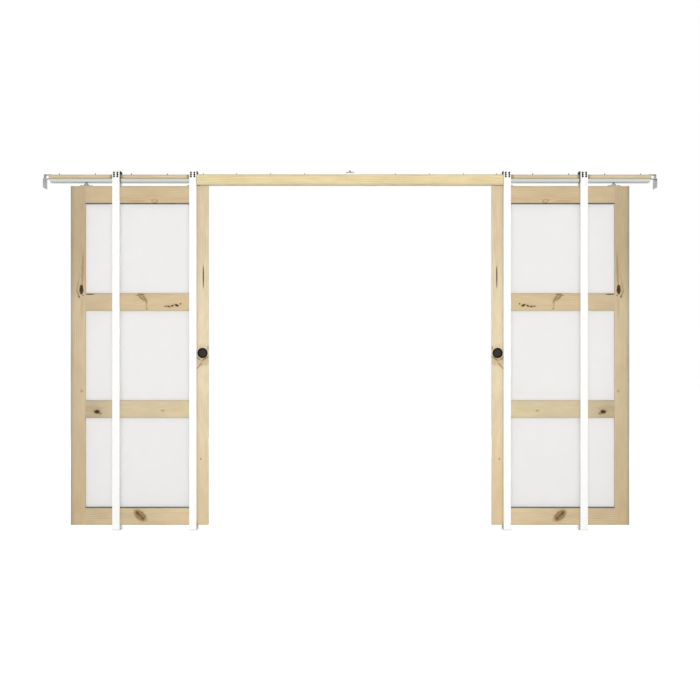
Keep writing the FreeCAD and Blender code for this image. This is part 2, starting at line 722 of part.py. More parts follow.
def door(side):
    opposite = 180 - TURN[side]
    stile(side, "rear_stile", REAR_EDGE, TURN[side], bored=False)
    stile(side, "lead_stile", LEAD_EDGE, opposite, bored=True)
    rail(side, "bottom_rail", 0, groove_below=False, groove_above=True)
    rail(side, "lower_mid_rail", 1, groove_below=True, groove_above=True)
    rail(side, "upper_mid_rail", 2, groove_below=True, groove_above=True)
    rail(side, "top_rail", 3, groove_below=True, groove_above=False)
    glass(side)
    pulls(side)
    group(f"{side}_door_hangers", [hanger_plate(side, end) for end in HANGER_LINES])
    group(f"{side}_door_trolleys", [trolley(side, end) for end in HANGER_LINES])
    wheels(side)


def pocket_side(side):
    for line, distance in STUD_LINES.items():
        along = along_wall(side, distance)
        stud(f"{side}_{line}_front_stud", along, f"-{DEPTH} / 2", 0)
        stud(f"{side}_{line}_back_stud", along, f"{DEPTH} / 2", 180)
        saddle(side, line)
        floor_plate(side, line)
    mouth_guide(side)
    end_bracket(side)


def check_document():
    """Stops on any failed object, and on any pocket that took nothing away."""
    for item in doc.Objects:
        if "Invalid" in item.State or "Error" in item.State:
            raise RuntimeError(f"{item.Label} failed: {item.State}")
        if item.TypeId == "PartDesign::Pocket":
            if item.Shape.Volume > item.BaseFeature.Shape.Volume - 1:
                raise RuntimeError(f"{item.Label} cut nothing")
    for piece in nodes:
        if piece.Shape.isNull() or not piece.Shape.isValid():
            raise RuntimeError(f"{piece.Label} has no valid shape")


header_board()
track()
fascia("front_fascia", f"-{DEPTH} / 2", FASCIA_UNDER)
fascia("back_fascia", "Sizes.pocket_gap / 2", f"({FASCIA_UNDER} + Sizes.back_fascia_lift)")
centre_bridge()
track_stops()
for one_side in SIDES:
    pocket_side(one_side)
    door(one_side)
doc.recompute()
check_document()
os.makedirs("parts", exist_ok=True)
for sub_part in nodes:
    sub_part.Shape.exportStep(f"parts/{sub_part.Label}.step")
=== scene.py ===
"""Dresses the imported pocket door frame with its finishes, fasteners and glazing seals, and lights it."""

import logging
import math
from collections.abc import Mapping
from dataclasses import dataclass, field, replace
from enum import Enum

import bpy
import numpy as np
from mathutils import Euler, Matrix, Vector


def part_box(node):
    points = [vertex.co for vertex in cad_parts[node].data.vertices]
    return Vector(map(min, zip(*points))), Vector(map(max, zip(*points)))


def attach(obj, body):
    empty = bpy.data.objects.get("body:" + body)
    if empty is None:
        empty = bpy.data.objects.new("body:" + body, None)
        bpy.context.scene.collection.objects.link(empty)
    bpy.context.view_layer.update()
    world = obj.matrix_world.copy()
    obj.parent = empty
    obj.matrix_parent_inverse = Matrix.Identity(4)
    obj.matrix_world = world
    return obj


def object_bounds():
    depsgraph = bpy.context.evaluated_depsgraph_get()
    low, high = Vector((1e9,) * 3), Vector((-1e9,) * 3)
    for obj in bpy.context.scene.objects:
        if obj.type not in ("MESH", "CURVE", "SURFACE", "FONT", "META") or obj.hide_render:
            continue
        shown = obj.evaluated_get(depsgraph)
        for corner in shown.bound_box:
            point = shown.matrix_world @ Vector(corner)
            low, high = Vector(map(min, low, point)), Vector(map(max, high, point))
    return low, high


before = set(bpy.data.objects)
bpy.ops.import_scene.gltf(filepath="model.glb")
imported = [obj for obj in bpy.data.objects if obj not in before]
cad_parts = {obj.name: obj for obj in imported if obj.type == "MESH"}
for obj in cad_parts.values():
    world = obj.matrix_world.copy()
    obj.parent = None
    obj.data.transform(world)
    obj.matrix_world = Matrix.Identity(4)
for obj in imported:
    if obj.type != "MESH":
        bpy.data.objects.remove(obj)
CAD_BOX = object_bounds()

MM = 0.001
SHARP_ANGLE = math.radians(35)
LOG = logging.getLogger("pocket_door_frame")

Material = bpy.types.Material
Node = bpy.types.Node
Socket = bpy.types.NodeSocket
Tree = bpy.types.NodeTree
Inputs = Mapping[int | str, object]
Pair = tuple[float, float]
Triple = tuple[float, float, float]
Tones = tuple[str, str, str]


class Side(Enum):
    """The two halves of the frame, which mirror each other."""

    LEFT = "left"
    RIGHT = "right"


class Facing(Enum):
    """Which way the local Z axis of a fastener looks, as the rows of a rotation matrix."""

    UP = ((1, 0, 0), (0, 1, 0), (0, 0, 1))
    FRONT = ((1, 0, 0), (0, 0, -1), (0, 1, 0))
    BACK = ((-1, 0, 0), (0, 0, 1), (0, 1, 0))


class Grain(Enum):
    """The direction of a board's length."""

    UPRIGHT = "upright"
    LEVEL = "level"


class Figure(Enum):
    """The kind of pattern that a plain finish shows, as the node that draws it."""

    CLOUD = "TexNoise"
    SPANGLE = "TexVoronoi"


class Streak(Enum):
    """The clouds in pine: size across and along the grain in millimetres, and octaves of finer cloud.

    Real fibres are too fine to show in the render, so they are drawn 2.5 mm wide.
    """

    WANDER = (160, 700, 2.0)
    BANDS = (30, 420, 2.0)
    MOTTLE = (34, 110, 2.0)
    PATCHES = (60, 260, 1.0)
    FIBRES = (2.5, 90, 4.0)
    OUTLINE = (9, 14, 3.0)


def linear(hex_colour: str) -> np.ndarray:
    """Turns an sRGB hex colour to linear light.

    A channel c in 0 to 1 becomes c / 12.92 up to 0.04045, and ((c + 0.055) / 1.055) ** 2.4 above it.

    Args:
        hex_colour: the colour as "#RRGGBB".

    Returns:
        The linear red, green, blue and an alpha of 1.
    """
    channels = np.array([int(hex_colour[i:i + 2], 16) for i in (1, 3, 5)]) / 255
    light = np.where(channels <= 0.04045, channels / 12.92, ((channels + 0.055) / 1.055) ** 2.4)
    return np.append(light, 1.0)


def set_inputs(tree: Tree, node: Node, inputs: Inputs) -> None:
    """Sets or links a node's inputs.

    Args:
        tree: the node tree.
        node: the node.
        inputs: socket names or numbers, each with a constant, an output socket, or a node whose first
            output is linked.
    """
    for key, value in inputs.items():
        source = value.outputs[0] if isinstance(value, Node) else value
        if isinstance(source, Socket):
            tree.links.new(source, node.inputs[key])
        else:
            node.inputs[key].default_value = source


def add_node(tree: Tree, kind: str, inputs: Inputs | None = None, **settings: object) -> Node:
    """Adds a shader node with its settings and links.

    Args:
        tree: the node tree that takes the node.
        kind: the node's type, without its ShaderNode prefix.
        inputs: what its inputs get, as set_inputs takes them.
        **settings: properties of the node, set first because some change which inputs it has.

    Returns:
        The new node.
    """
    node = tree.nodes.new(f"ShaderNode{kind}")
    for name, value in settings.items():
        setattr(node, name, value)
    set_inputs(tree, node, inputs or {})
    return node


def flat_length(tree: Tree, vector: Node, plane: Triple) -> Socket:
    """Adds the length of a vector within a plane: the root of the sum of its squares there.

    Args:
        tree: the node tree.
        vector: the vector.
        plane: 1 for each axis that counts and 0 for the one that doesn't.

    Returns:
        The length.
    """
    flat = add_node(tree, "VectorMath", {0: vector, 1: plane}, operation="MULTIPLY")
    return add_node(tree, "VectorMath", {0: flat}, operation="LENGTH").outputs["Value"]


def start_material(name: str) -> tuple[Material, Tree, Node]:
    """Makes a material with a plain shader.

    Args:
        name: the material's name.

    Returns:
        The material, its node tree and its Principled shader.
    """
    material = bpy.data.materials.new(name)
    material.use_nodes = True
    tree = material.node_tree
    return material, tree, tree.nodes["Principled BSDF"]


@dataclass(frozen=True)
class Spread:
    """A range of a pattern's values, and the levels that its ends become."""

    start: float = 0.0
    end: float = 1.0
    low: float = 0.0
    high: float = 1.0

    def of(self, value: Node | Socket) -> Inputs:
        """What a Map Range node takes to spread a value so."""
        levels = {"To Min": self.low, "To Max": self.high}
        return {"Value": value, "From Min": self.start, "From Max": self.end, **levels}


@dataclass(frozen=True)
class Finish:
    """A plain finish: two close tones, a roughness range and a bump, all driven by one pattern.

    The pattern is a cloud or a spangle whose features are pattern_mm across in X, Y and Z.
    """

    name: str
    pale: str
    deep: str
    pattern_mm: Triple
    roughness: Pair
    metallic: float = 0.0
    bump_mm: float = 0.05
    bump_strength: float = 0.5
    detail: float = 3.0
    figure: Figure = Figure.CLOUD
    specular: float = 0.5
    spread: Spread = Spread(0.25, 0.75)

    def material(self) -> Material:
        """Builds the material: the pattern, on Object coordinates, drives colour, roughness and bump.

        Returns:
            The material.
        """
        material, tree, shader = start_material(self.name)
        place = add_node(tree, "TexCoord").outputs["Object"]
        scale = tuple(1 / (size * MM) for size in self.pattern_mm)
        stretched = add_node(tree, "VectorMath", {0: place, 1: scale}, operation="MULTIPLY")
        pattern = add_node(tree, self.figure.value, {"Vector": stretched, "Scale": 1.0})
        if self.figure is Figure.CLOUD:
            pattern.inputs["Detail"].default_value = self.detail
        else:
            pattern = add_node(tree, "SeparateColor", {0: pattern.outputs["Color"]})
        share = add_node(tree, "MapRange", self.spread.of(pattern))
        tones = {0: share, 6: linear(self.pale), 7: linear(self.deep)}
        gloss = Spread(0, 1, *self.roughness)
        bump = {"Height": share, "Strength": self.bump_strength, "Distance": self.bump_mm * MM}
        surface = {
            "Base Color": add_node(tree, "Mix", tones, data_type="RGBA").outputs[2],
            "Roughness": add_node(tree, "MapRange", gloss.of(share)),
            "Normal": add_node(tree, "Bump", bump),
            "Metallic": self.metallic,
            "Specular IOR Level": self.specular,
        }
        set_inputs(tree, shader, surface)
        return material

    def _overlay(self, material: Material, measure: Socket, start: float, end: float, tone: str) -> None:
        """Lays a second tone over the finish: none of it where a measure is at start, all of it at end.

        Args:
            material: the finish's material.
            measure: the value that decides the share.
            start: the measure with no share.
            end: the measure with the whole share.
            tone: the second tone.
        """
        tree = material.node_tree
        shader = tree.nodes["Principled BSDF"]
        share = add_node(tree, "MapRange", Spread(start, end).of(measure))
        tones = {0: share, 6: shader.inputs["Base Color"].links[0].from_socket, 7: linear(tone)}
        colour = add_node(tree, "Mix", tones, data_type="RGBA").outputs[2]
        set_inputs(tree, shader, {"Base Color": colour})


@dataclass(frozen=True)
class EtchedGlass(Finish):
    """Float glass etched on one face: light passes through it scattered."""

    transmission: float = 0.15
    ior: float = 1.5

    def material(self) -> Material:
        """Builds the plain finish and lets light through it.

        Returns:
            The material.
        """
        material = super().material()
        tree = material.node_tree
        passing = {"Transmission Weight": self.transmission, "IOR": self.ior}
        set_inputs(tree, tree.nodes["Principled BSDF"], passing)
        return material


@dataclass(frozen=True)
class RimShadedPaint(Finish):
    """Paint on a turned piece with painted shade on its rim, which catches less light than its dish."""

    # The rim's painted shade: its tone, where the dish ends, and how far it fades.
    rim: str = "#15110E"
    dish_mm: float = 21.0
    fade_mm: float = 4.0

    def about(self, axis: Vector) -> Material:
        """Builds the plain finish and paints shade on it outside the dish.

        The share of the rim's tone rises from 0 to 1 over the fade, by the distance from the axis along Y.

        Args:
            axis: a point on the piece's axis.

        Returns:
            The material.
        """
        material = self.material()
        tree = material.node_tree
        place = add_node(tree, "TexCoord").outputs["Object"]
        aside = add_node(tree, "VectorMath", {0: place, 1: axis}, operation="SUBTRACT")
        radius = flat_length(tree, aside, (1, 0, 1))
        self._overlay(material, radius, self.dish_mm * MM, (self.dish_mm + self.fade_mm) * MM, self.rim)
        return material


@dataclass(frozen=True)
class TrackMetal(Finish):
    """Extruded metal of a track, with painted shade along its lower lips, where the trolleys run, and a
    painted shadow at its top seam.
    """

    # The painted shade on the lips and the painted shadow under the board at the seam: tones and heights.
    lip: str = "#ACACA8"
    lip_mm: float = 2.0
    seam: str = "#8A867C"
    seam_mm: float = 4.5
    fade_mm: float = 1.0

    def between(self, foot: float, head: float) -> Material:
        """Builds the plain finish and paints shade on it up to the lips' height and down from the seam's.

        Args:
            foot: Z of the track's underside.
            head: Z of the track's top.

        Returns:
            The material.
        """
        material = self.material()
        tree = material.node_tree
        place = add_node(tree, "TexCoord").outputs["Object"]
        height = add_node(tree, "SeparateXYZ", {0: place}).outputs[2]
        lip_top = foot + self.lip_mm * MM
        self._overlay(material, height, lip_top + self.fade_mm * MM, lip_top, self.lip)
        self._overlay(material, height, head - self.seam_mm * MM, head, self.seam)
        return material


# White powder coat on folded steel: a soft orange peel, drawn at 4 mm so that it shows.
POWDER_COAT = Finish("white_powder_coat", "#F9F9F7", "#F3F3F1", (4, 4, 4), (0.42, 0.52), bump_mm=0.04)
# Extruded aluminium, left satin: die lines along its length, drawn at 2 mm so that they show.
EXTRUSION = TrackMetal(
    "satin_extruded_aluminium", "#DCDDD9", "#CECFCD", (900, 2, 2), (0.24, 0.32), metallic=1.0, bump_mm=0.03
)
# Hot-dip zinc on pressed steel: flat crystals about 9 mm wide, each at its own tilt and tone.
ZINC = Finish(
    "zinc_plated_steel", "#BBBCBB", "#A3A4A5", (9, 9, 9), (0.35, 0.5), metallic=0.9, figure=Figure.SPANGLE
)
# Thin bright zinc on the floor plates: nearly white, with a faint cloud.
PALE_ZINC = Finish("pale_zinc_steel", "#F0F0EE", "#E2E3E2", (14, 14, 14), (0.35, 0.5), metallic=0.5)
# Black oxide on saddles, stud screws and the lintel bolt: a dry, slightly brown black with a fine tooth.
BLACK_OXIDE = Finish("black_oxide_steel", "#161313", "#0D0B0B", (3, 3, 3), (0.55, 0.7), specular=0.06)
# Wax-dulled steel of the screws in the timber and the floor: brown-grey.
SCREW_STEEL = Finish(
    "waxed_screw_steel", "#5C4A3E", "#42342B", (2, 2, 2), (0.5, 0.65), metallic=0.3, specular=0.2
)
# Matt black paint on the turned pulls: even, with a faint tooth, and painted shade on its rim.
PULL_BLACK = RimShadedPaint(
    "matt_black_paint", "#43383B", "#362D30", (1.5, 1.5, 1.5), (0.5, 0.65), bump_mm=0.03, specular=0.12
)
# Moulded nylon wheels: milky, slightly waxy.
NYLON = Finish("moulded_nylon", "#E6E3DA", "#D8D4C8", (5, 5, 5), (0.35, 0.45), bump_mm=0.02)
# Moulded rubber of stops and glazing seals: dull black with a grey bloom.
RUBBER = Finish("moulded_rubber", "#2A2723", "#1B1916", (4, 4, 4), (0.65, 0.8))
# Acid-etched glass: a white veil with a faint cloud about 90 mm wide.
ETCHED_GLASS = EtchedGlass(
    "acid_etched_glass", "#F3F2F1", "#F1F0EF", (90, 90, 90), (0.45, 0.52), bump_mm=0.02
)


@dataclass(frozen=True)
class Mark:
    """A knot, pitch streak or fleck in a board, or a patch or line of painted shade on it, in millimetres.

    A point lies at the distance d from the mark's middle, measured in half sizes of its ellipse. The core
    covers d under 1, the stain fades out to d of stain_and_shade_reach, and the swirl lifts the ring field by
    swirl * exp(-d * d) over a wider ellipse, which bends the grain round the mark.
    """

    from_rear: float
    height: float
    width: float
    tall: float
    tilt: float = 0.0
    core: float = 0.0
    stain_and_shade: float = 0.5
    stain_and_shade_reach: float = 1.6
    swirl: float = 0.0


@dataclass(frozen=True)
class PineBoard:
    """One board of knotty pine, planed and lacquered satin.

    Pale early wood alternates with amber late wood, in rings about a pith line beside the board, so long
    faces show stripes and ends show arcs. Broad bands run from straw to rose, and fibres streak along the
    grain. Marks are measured up from foot, and along X from rear_edge, backwards where it is mirrored.
    """

    node: str
    grain: Grain
    tones: Tones
    seed: float
    marks: tuple[Mark, ...] = ()
    mirrored: bool = False
    rear_edge: float = 0.0
    foot: float = 0.0
    ring_mm: float = 10.0
    pith_mm: Pair = (120.0, 46.0)
    wander_mm: float = 36.0
    contrast: float = 0.55
    middle_at: float = 0.5
    end_at: float = 1.0
    # Painted shade along the long edges: how far in it reaches, its tint at the edge, and whether only the
    # rear edge takes it.
    edge_mm: float = 14.0
    edge_shade_tint: Triple = (0.74, 0.8, 0.9)
    rear_edge_only: bool = False
    straw_tint: Triple = (0.99, 1.03, 0.995)
    rose_tint: Triple = (1.02, 0.965, 0.96)
    late_tint: Triple = (0.74, 0.62, 0.47)
    # The marks' stain tone, which on the header board is the studs' painted shadow.
    stain_and_shade_tone: str = "#94703F"
    core_tone: str = "#2D1802"
    relief_mm: float = 0.25
    relief_strength: float = 0.35
    specular: float = 0.2
    coat: float = 0.04
    coat_roughness: float = 0.35

    def material(self) -> Material:
        """Builds the board's material, with its figure along the board.

        Returns:
            The material.
        """
        material, tree, shader = start_material(f"knotty_pine_{self.node}")
        PineFigure(self, tree).paint(shader)
        return material


@dataclass
class PineFigure:
    """The figure of one board as shader nodes, on its own axes: across, through and along the grain."""

    board: PineBoard
    tree: Tree
    level: bool = field(init=False)
    hand: int = field(init=False)
    half_across: float = field(init=False)
    half_along: float = field(init=False)
    middle: Vector = field(init=False)
    place: Node = field(init=False)
    across: Socket = field(init=False)
    along: Socket = field(init=False)

    # How far apart two boards' clouds are drawn.
    SEED_STEP = 7.3
    # The values of each cloud that show, and the levels that they become.
    BANDS = Spread(0.33, 0.67)
    MOTTLE = Spread(0.3, 0.7, 0.93, 1.06)
    PATCHES = Spread(0.3, 0.75)
    VEIL = Spread(0.45, 0.8, high=0.3)
    GLOSS = Spread(low=0.42, high=0.58)
    # The fibres' share of the relief, beside late wood's.
    FIBRE_RELIEF = 0.5
    # The parts of a ring in which late wood comes in and ends.
    RISE = Spread(0.25, 0.8)
    FALL = Spread(1.0, 0.88)
    # How far a mark's swirl reaches, in its sizes, and how much further along the grain.
    SWIRL_SHARE = 0.9
    SWIRL_STRETCH = 2.2
    # How uneven a mark's outline is, in half sizes, and the rings in it.
    UNEVEN = 0.7
    RING_RATE = 9.0
    RING_DEPTH = 0.07
    # Where a stain is full, and where a core ends and is full, in half sizes.
    STAIN_FULL = 0.9
    CORE_SPAN = (1.15, 0.8)

    def __post_init__(self) -> None:
        """Adds the mapping from Object coordinates to the board's axes, with its middle at zero."""
        low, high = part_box(self.board.node)
        half = (high - low) / 2
        self.level = self.board.grain is Grain.LEVEL
        self.hand = -1 if self.board.mirrored else 1
        self.half_across, self.half_along = (half.z, half.x) if self.level else (half.x, half.z)
        self.middle = self._local((low + high) / 2)
        inputs = {
            "Vector": add_node(self.tree, "TexCoord").outputs["Object"],
            "Rotation": Euler((0, math.pi / 2 if self.level else 0, 0)),
            "Scale": (-self.hand if self.level else self.hand, 1, 1),
            "Location": -self.middle,
        }
        self.place = add_node(self.tree, "Mapping", inputs, vector_type="POINT")
        self.across, _, self.along = add_node(self.tree, "SeparateXYZ", {0: self.place}).outputs

    def _local(self, point: Vector) -> Vector:
        """Turns a point of the frame to the board's axes."""
        x = point.x * self.hand
        return Vector((point.z, point.y, x) if self.level else (x, point.y, point.z))

    def _streaks(self, streak: Streak) -> Socket:
        """Adds a cloud that is drawn out along the grain.

        Args:
            streak: which of the clouds.

        Returns:
            The cloud's value, from 0 to 1 with its middle near 0.5.
        """
        across, along, detail = streak.value
        scale = (1 / (across * MM), 1 / (across * MM), 1 / (along * MM))
        drawn = add_node(self.tree, "VectorMath", {0: self.place, 1: scale}, operation="MULTIPLY")
        start = self.board.seed * self.SEED_STEP + across
        inputs = {"Vector": drawn, "W": start, "Scale": 1.0, "Detail": detail}
        return add_node(self.tree, "TexNoise", inputs, noise_dimensions="4D").outputs[0]

    def _distance(self, mark: Mark, share: float, stretch: float = 1.0, tilt: float = 0.0) -> Socket:
        """Adds the distance from a mark's middle, in half sizes of an ellipse about it.

        Args:
            mark: the mark.
            share: the ellipse's half sizes as a share of the mark's width and height.
            stretch: how much longer it is along the grain.
            tilt: its turn on the board's face, in degrees.

        Returns:
            The distance.
        """
        across, along = mark.width * share, mark.tall * share
        if self.level:
            across, along, tilt = along, across, -tilt
        x = self.board.rear_edge + self.hand * mark.from_rear * MM
        spot = Vector((x, 0, self.board.foot + mark.height * MM))
        inputs = {
            "Vector": self.place,
            "Location": self._local(spot) - self.middle,
            "Rotation": (0, math.radians(tilt), 0),
            "Scale": (across * MM, 1, along * stretch * MM),
        }
        centred = add_node(self.tree, "Mapping", inputs, vector_type="TEXTURE")
        return flat_length(self.tree, centred, (1, 0, 1))

    def _length_tone(self) -> Socket:
        """Adds the board's tone, which eases along its length through its three tones.

        Returns:
            The tone.
        """
        span = Spread(-self.half_along, self.half_along).of(self.along)
        node = add_node(self.tree, "ValToRGB", {0: add_node(self.tree, "MapRange", span)})
        ramp = node.color_ramp
        ramp.interpolation = "EASE"
        ramp.elements.new(self.board.middle_at)
        ramp.elements[2].position = self.board.end_at
        for stop, tone in zip(ramp.elements, self.board.tones):
            stop.color = linear(tone)
        return node.outputs[0]

    def _late_wood(self) -> Socket:
        """Adds the growth rings: the share of dark late wood at each point.

        The ring field is the distance from the pith line, which wanders along the board, plus each mark's
        swirl. Its fraction of a ring's width rises slowly from early to late wood and falls off at the
        ring's end.

        Returns:
            The share of late wood, from 0 to 1.
        """
        tree, board = self.tree, self.board
        wander = {0: self._streaks(Streak.WANDER), 1: board.wander_mm * MM}
        moved = add_node(tree, "Math", wander, operation="MULTIPLY")
        offset = add_node(tree, "CombineXYZ", {0: moved, 1: moved, 2: 0.0})
        drifted = add_node(tree, "VectorMath", {0: self.place, 1: offset}, operation="ADD")
        pith = (board.pith_mm[0] * MM, board.pith_mm[1] * MM, 0)
        about = add_node(tree, "VectorMath", {0: drifted, 1: pith}, operation="SUBTRACT")
        ring_field = flat_length(tree, about, (1, 1, 0))
        for mark in (mark for mark in board.marks if mark.swirl):
            reach = self._distance(mark, self.SWIRL_SHARE, self.SWIRL_STRETCH)
            square = add_node(tree, "Math", {0: reach, 1: reach}, operation="MULTIPLY")
            minus = add_node(tree, "Math", {0: square, 1: -1.0}, operation="MULTIPLY")
            hill = add_node(tree, "Math", {0: minus}, operation="EXPONENT")
            lift = {0: hill, 1: mark.swirl * MM, 2: ring_field}
            ring_field = add_node(tree, "Math", lift, operation="MULTIPLY_ADD").outputs[0]
        phase = add_node(tree, "Math", {0: ring_field, 1: board.ring_mm * MM}, operation="DIVIDE")
        part = add_node(tree, "Math", {0: phase}, operation="FRACT")
        late = add_node(tree, "MapRange", self.RISE.of(part), interpolation_type="SMOOTHSTEP")
        early = add_node(tree, "MapRange", self.FALL.of(part), interpolation_type="SMOOTHSTEP")
        return add_node(tree, "Math", {0: late, 1: early}, operation="MULTIPLY").outputs[0]

    def _marked(self, colour: Socket) -> Socket:
        """Adds the marks over the board's colour, each a stain and then a core; on some marks both are
        painted shade.

        A fine cloud makes their outlines uneven, and a sine of the distance shades them in rings.

        Args:
            colour: the colour under the marks.

        Returns:
            The colour with the marks on it.
        """
        tree, board = self.tree, self.board
        uneven = {0: self._streaks(Streak.OUTLINE), 1: self.UNEVEN, 2: -self.UNEVEN / 2}
        shift = add_node(tree, "Math", uneven, operation="MULTIPLY_ADD")
        for mark in board.marks:
            smooth = self._distance(mark, 0.5, tilt=mark.tilt)
            reach = add_node(tree, "Math", {0: smooth, 1: shift}, operation="ADD")
            ring = add_node(tree, "Math", {0: reach, 1: self.RING_RATE}, operation="MULTIPLY")
            wave = add_node(tree, "Math", {0: ring}, operation="SINE")
            rings = {0: wave, 1: self.RING_DEPTH, 2: 1 - self.RING_DEPTH}
            light = add_node(tree, "Math", rings, operation="MULTIPLY_ADD")
            layers = (
                (board.stain_and_shade_tone, Spread(mark.stain_and_shade_reach, self.STAIN_FULL, high=mark.stain_and_shade)),
                (board.core_tone, Spread(*self.CORE_SPAN, high=mark.core)),
            )
            for tone, spread in layers:
                mask = add_node(tree, "MapRange", spread.of(reach), interpolation_type="SMOOTHSTEP")
                share = add_node(tree, "Math", {0: mask, 1: light}, operation="MULTIPLY")
                tones = {0: share, 6: colour, 7: linear(tone)}
                colour = add_node(tree, "Mix", tones, data_type="RGBA").outputs[2]
        return colour

    def _painted_edge_shade(self, colour: Socket) -> Socket:
        """Adds painted shade along a board's long edges, in a cooler, greyer tone.

        The tone is full at the edge and fades out as the square of the way in. Only the broad faces, which
        look along Y, take it.

        Args:
            colour: the colour under it.

        Returns:
            The colour with shaded edges.
        """
        tree, board = self.tree, self.board
        if board.rear_edge_only:
            outward = add_node(tree, "Math", {0: self.across, 1: -1.0}, operation="MULTIPLY")
        else:
            outward = add_node(tree, "Math", {0: self.across}, operation="ABSOLUTE")
        inner = self.half_across - min(board.edge_mm * MM, self.half_across)
        near = add_node(tree, "MapRange", Spread(inner, self.half_across).of(outward))
        faded = add_node(tree, "Math", {0: near, 1: 2.0}, operation="POWER")
        normal = add_node(tree, "NewGeometry").outputs["Normal"]
        facing = add_node(tree, "SeparateXYZ", {0: normal}).outputs[1]
        broad = add_node(tree, "Math", {0: facing}, operation="ABSOLUTE")
        share = add_node(tree, "Math", {0: faded, 1: broad}, operation="MULTIPLY")
        tones = {0: share, 6: colour, 7: (*board.edge_shade_tint, 1)}
        return add_node(tree, "Mix", tones, data_type="RGBA", blend_type="MULTIPLY").outputs[2]

    def paint(self, shader: Node) -> None:
        """Drives the shader: bands, rings, fibres and marks give the colour, and bump and gloss follow them.

        Args:
            shader: the board's Principled shader.
        """
        tree, board = self.tree, self.board
        tone = self._length_tone()
        tinted = []
        for tint in (board.straw_tint, board.rose_tint, board.late_tint):
            tones = {0: 1.0, 6: tone, 7: (*tint, 1)}
            mix = add_node(tree, "Mix", tones, data_type="RGBA", blend_type="MULTIPLY")
            tinted.append(mix.outputs[2])
        straw, rose, amber = tinted
        bands = add_node(tree, "MapRange", self.BANDS.of(self._streaks(Streak.BANDS)))
        base = add_node(tree, "Mix", {0: bands, 6: straw, 7: rose}, data_type="RGBA").outputs[2]
        mottle = add_node(tree, "MapRange", self.MOTTLE.of(self._streaks(Streak.MOTTLE)))
        early = add_node(tree, "VectorMath", {0: base, "Scale": mottle}, operation="SCALE").outputs[0]
        patches = replace(self.PATCHES, high=board.contrast)
        depth = add_node(tree, "MapRange", patches.of(self._streaks(Streak.PATCHES)))
        late = add_node(tree, "Math", {0: self._late_wood(), 1: depth}, operation="MULTIPLY")
        ringed = add_node(tree, "Mix", {0: late, 6: early, 7: amber}, data_type="RGBA").outputs[2]
        fibres = self._streaks(Streak.FIBRES)
        veil = add_node(tree, "MapRange", self.VEIL.of(fibres))
        veiled = add_node(tree, "Mix", {0: veil, 6: ringed, 7: amber}, data_type="RGBA").outputs[2]
        heights = {0: fibres, 1: self.FIBRE_RELIEF, 2: late}
        relief = add_node(tree, "Math", heights, operation="MULTIPLY_ADD")
        bump = {"Height": relief, "Strength": board.relief_strength, "Distance": board.relief_mm * MM}
        surface = {
            "Base Color": self._painted_edge_shade(self._marked(veiled)),
            "Normal": add_node(tree, "Bump", bump),
            "Roughness": add_node(tree, "MapRange", self.GLOSS.of(fibres)),
            "Specular IOR Level": board.specular,
            "Coat Weight": board.coat,
            "Coat Roughness": board.coat_roughness,
        }
        set_inputs(tree, shader, surface)


def dress(node: str, material: Material) -> None:
    """Gives a CAD node its finish.

    Args:
        node: the node's name.
        material: the finish.
    """
    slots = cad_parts[node].data.materials
    slots.clear()
    slots.append(material)
    LOG.info("dressed %s with %s", node, material.name)


@dataclass
class Shell:
    """A closed surface as plain arrays: points, and faces of three or four corners."""

    points: np.ndarray
    quads: np.ndarray
    triangles: np.ndarray

    @classmethod
    def from_rings(cls, rings: np.ndarray) -> "Shell":
        """Closes a stack of rings: each joins the next by quads, and a fan to its middle closes each end.

        Args:
            rings: points as (ring, place round the ring, 3), counter-clockwise seen against the stack's
                direction.

        Returns:
            The shell, with its faces outwards.
        """
        count, round_it, _ = rings.shape
        here = np.arange(count * round_it).reshape(count, round_it)
        beside = np.roll(here, -1, axis=1)
        quads = np.stack([here[:-1], beside[:-1], beside[1:], here[1:]], axis=-1).reshape(-1, 4)
        low, high = np.full(round_it, count * round_it), np.full(round_it, count * round_it + 1)
        first_fan = np.stack([beside[0], here[0], low], axis=-1)
        last_fan = np.stack([here[-1], beside[-1], high], axis=-1)
        points = np.concatenate([rings.reshape(-1, 3), rings[[0, -1]].mean(axis=1)])
        return cls(points, quads, np.concatenate([first_fan, last_fan]))

    def repeated(self, places: list[Triple], facing: Facing = Facing.UP) -> "Shell":
        """Copies the shell, turned to its facing, to each of several places.

        Args:
            places: where the copies' zero points go.
            facing: the direction that their local Z axis gets.

        Returns:
            One shell of all the copies.
        """
        spots = np.array(places, float)
        turned = self.points @ np.array(facing.value, float).T
        points = (spots[:, None, :] + turned[None, :, :]).reshape(-1, 3)
        steps = np.arange(len(spots))[:, None, None] * len(self.points)
        quads, triangles = (self.quads + steps).reshape(-1, 4), (self.triangles + steps).reshape(-1, 3)
        return Shell(points, quads, triangles)

    def joined(self, *others: "Shell") -> "Shell":
        """Joins this shell and others.

        Args:
            *others: the other shells.

        Returns:
            One shell of them all.
        """
        shells = (self, *others)
        steps = np.cumsum([0] + [len(shell.points) for shell in shells[:-1]])
        points = np.concatenate([shell.points for shell in shells])
        quads = np.concatenate([shell.quads + step for shell, step in zip(shells, steps)])
        triangles = np.concatenate([shell.triangles + step for shell, step in zip(shells, steps)])
        return Shell(points, quads, triangles)

    def piece(self, name: str, body: str, slot: str, material: Material) -> bpy.types.Object:
        """Makes the shell an object that rides on a body.

        Args:
            name: the piece's name.
            body: the CAD body that it moves with.
            slot: the record's material slot; not used.
            material: its finish.

        Returns:
            The object, at the origin.
        """
        mesh = bpy.data.meshes.new(name)
        mesh.from_pydata(self.points.tolist(), [], self.quads.tolist() + self.triangles.tolist())
        mesh.shade_smooth()
        mesh.set_sharp_from_angle(angle=SHARP_ANGLE)
        mesh.materials.append(material)
        piece = bpy.data.objects.new(name, mesh)
        bpy.context.scene.collection.objects.link(piece)
        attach(piece, body)
        LOG.info("built %s, %d points, on %s", name, len(self.points), body)
        return piece


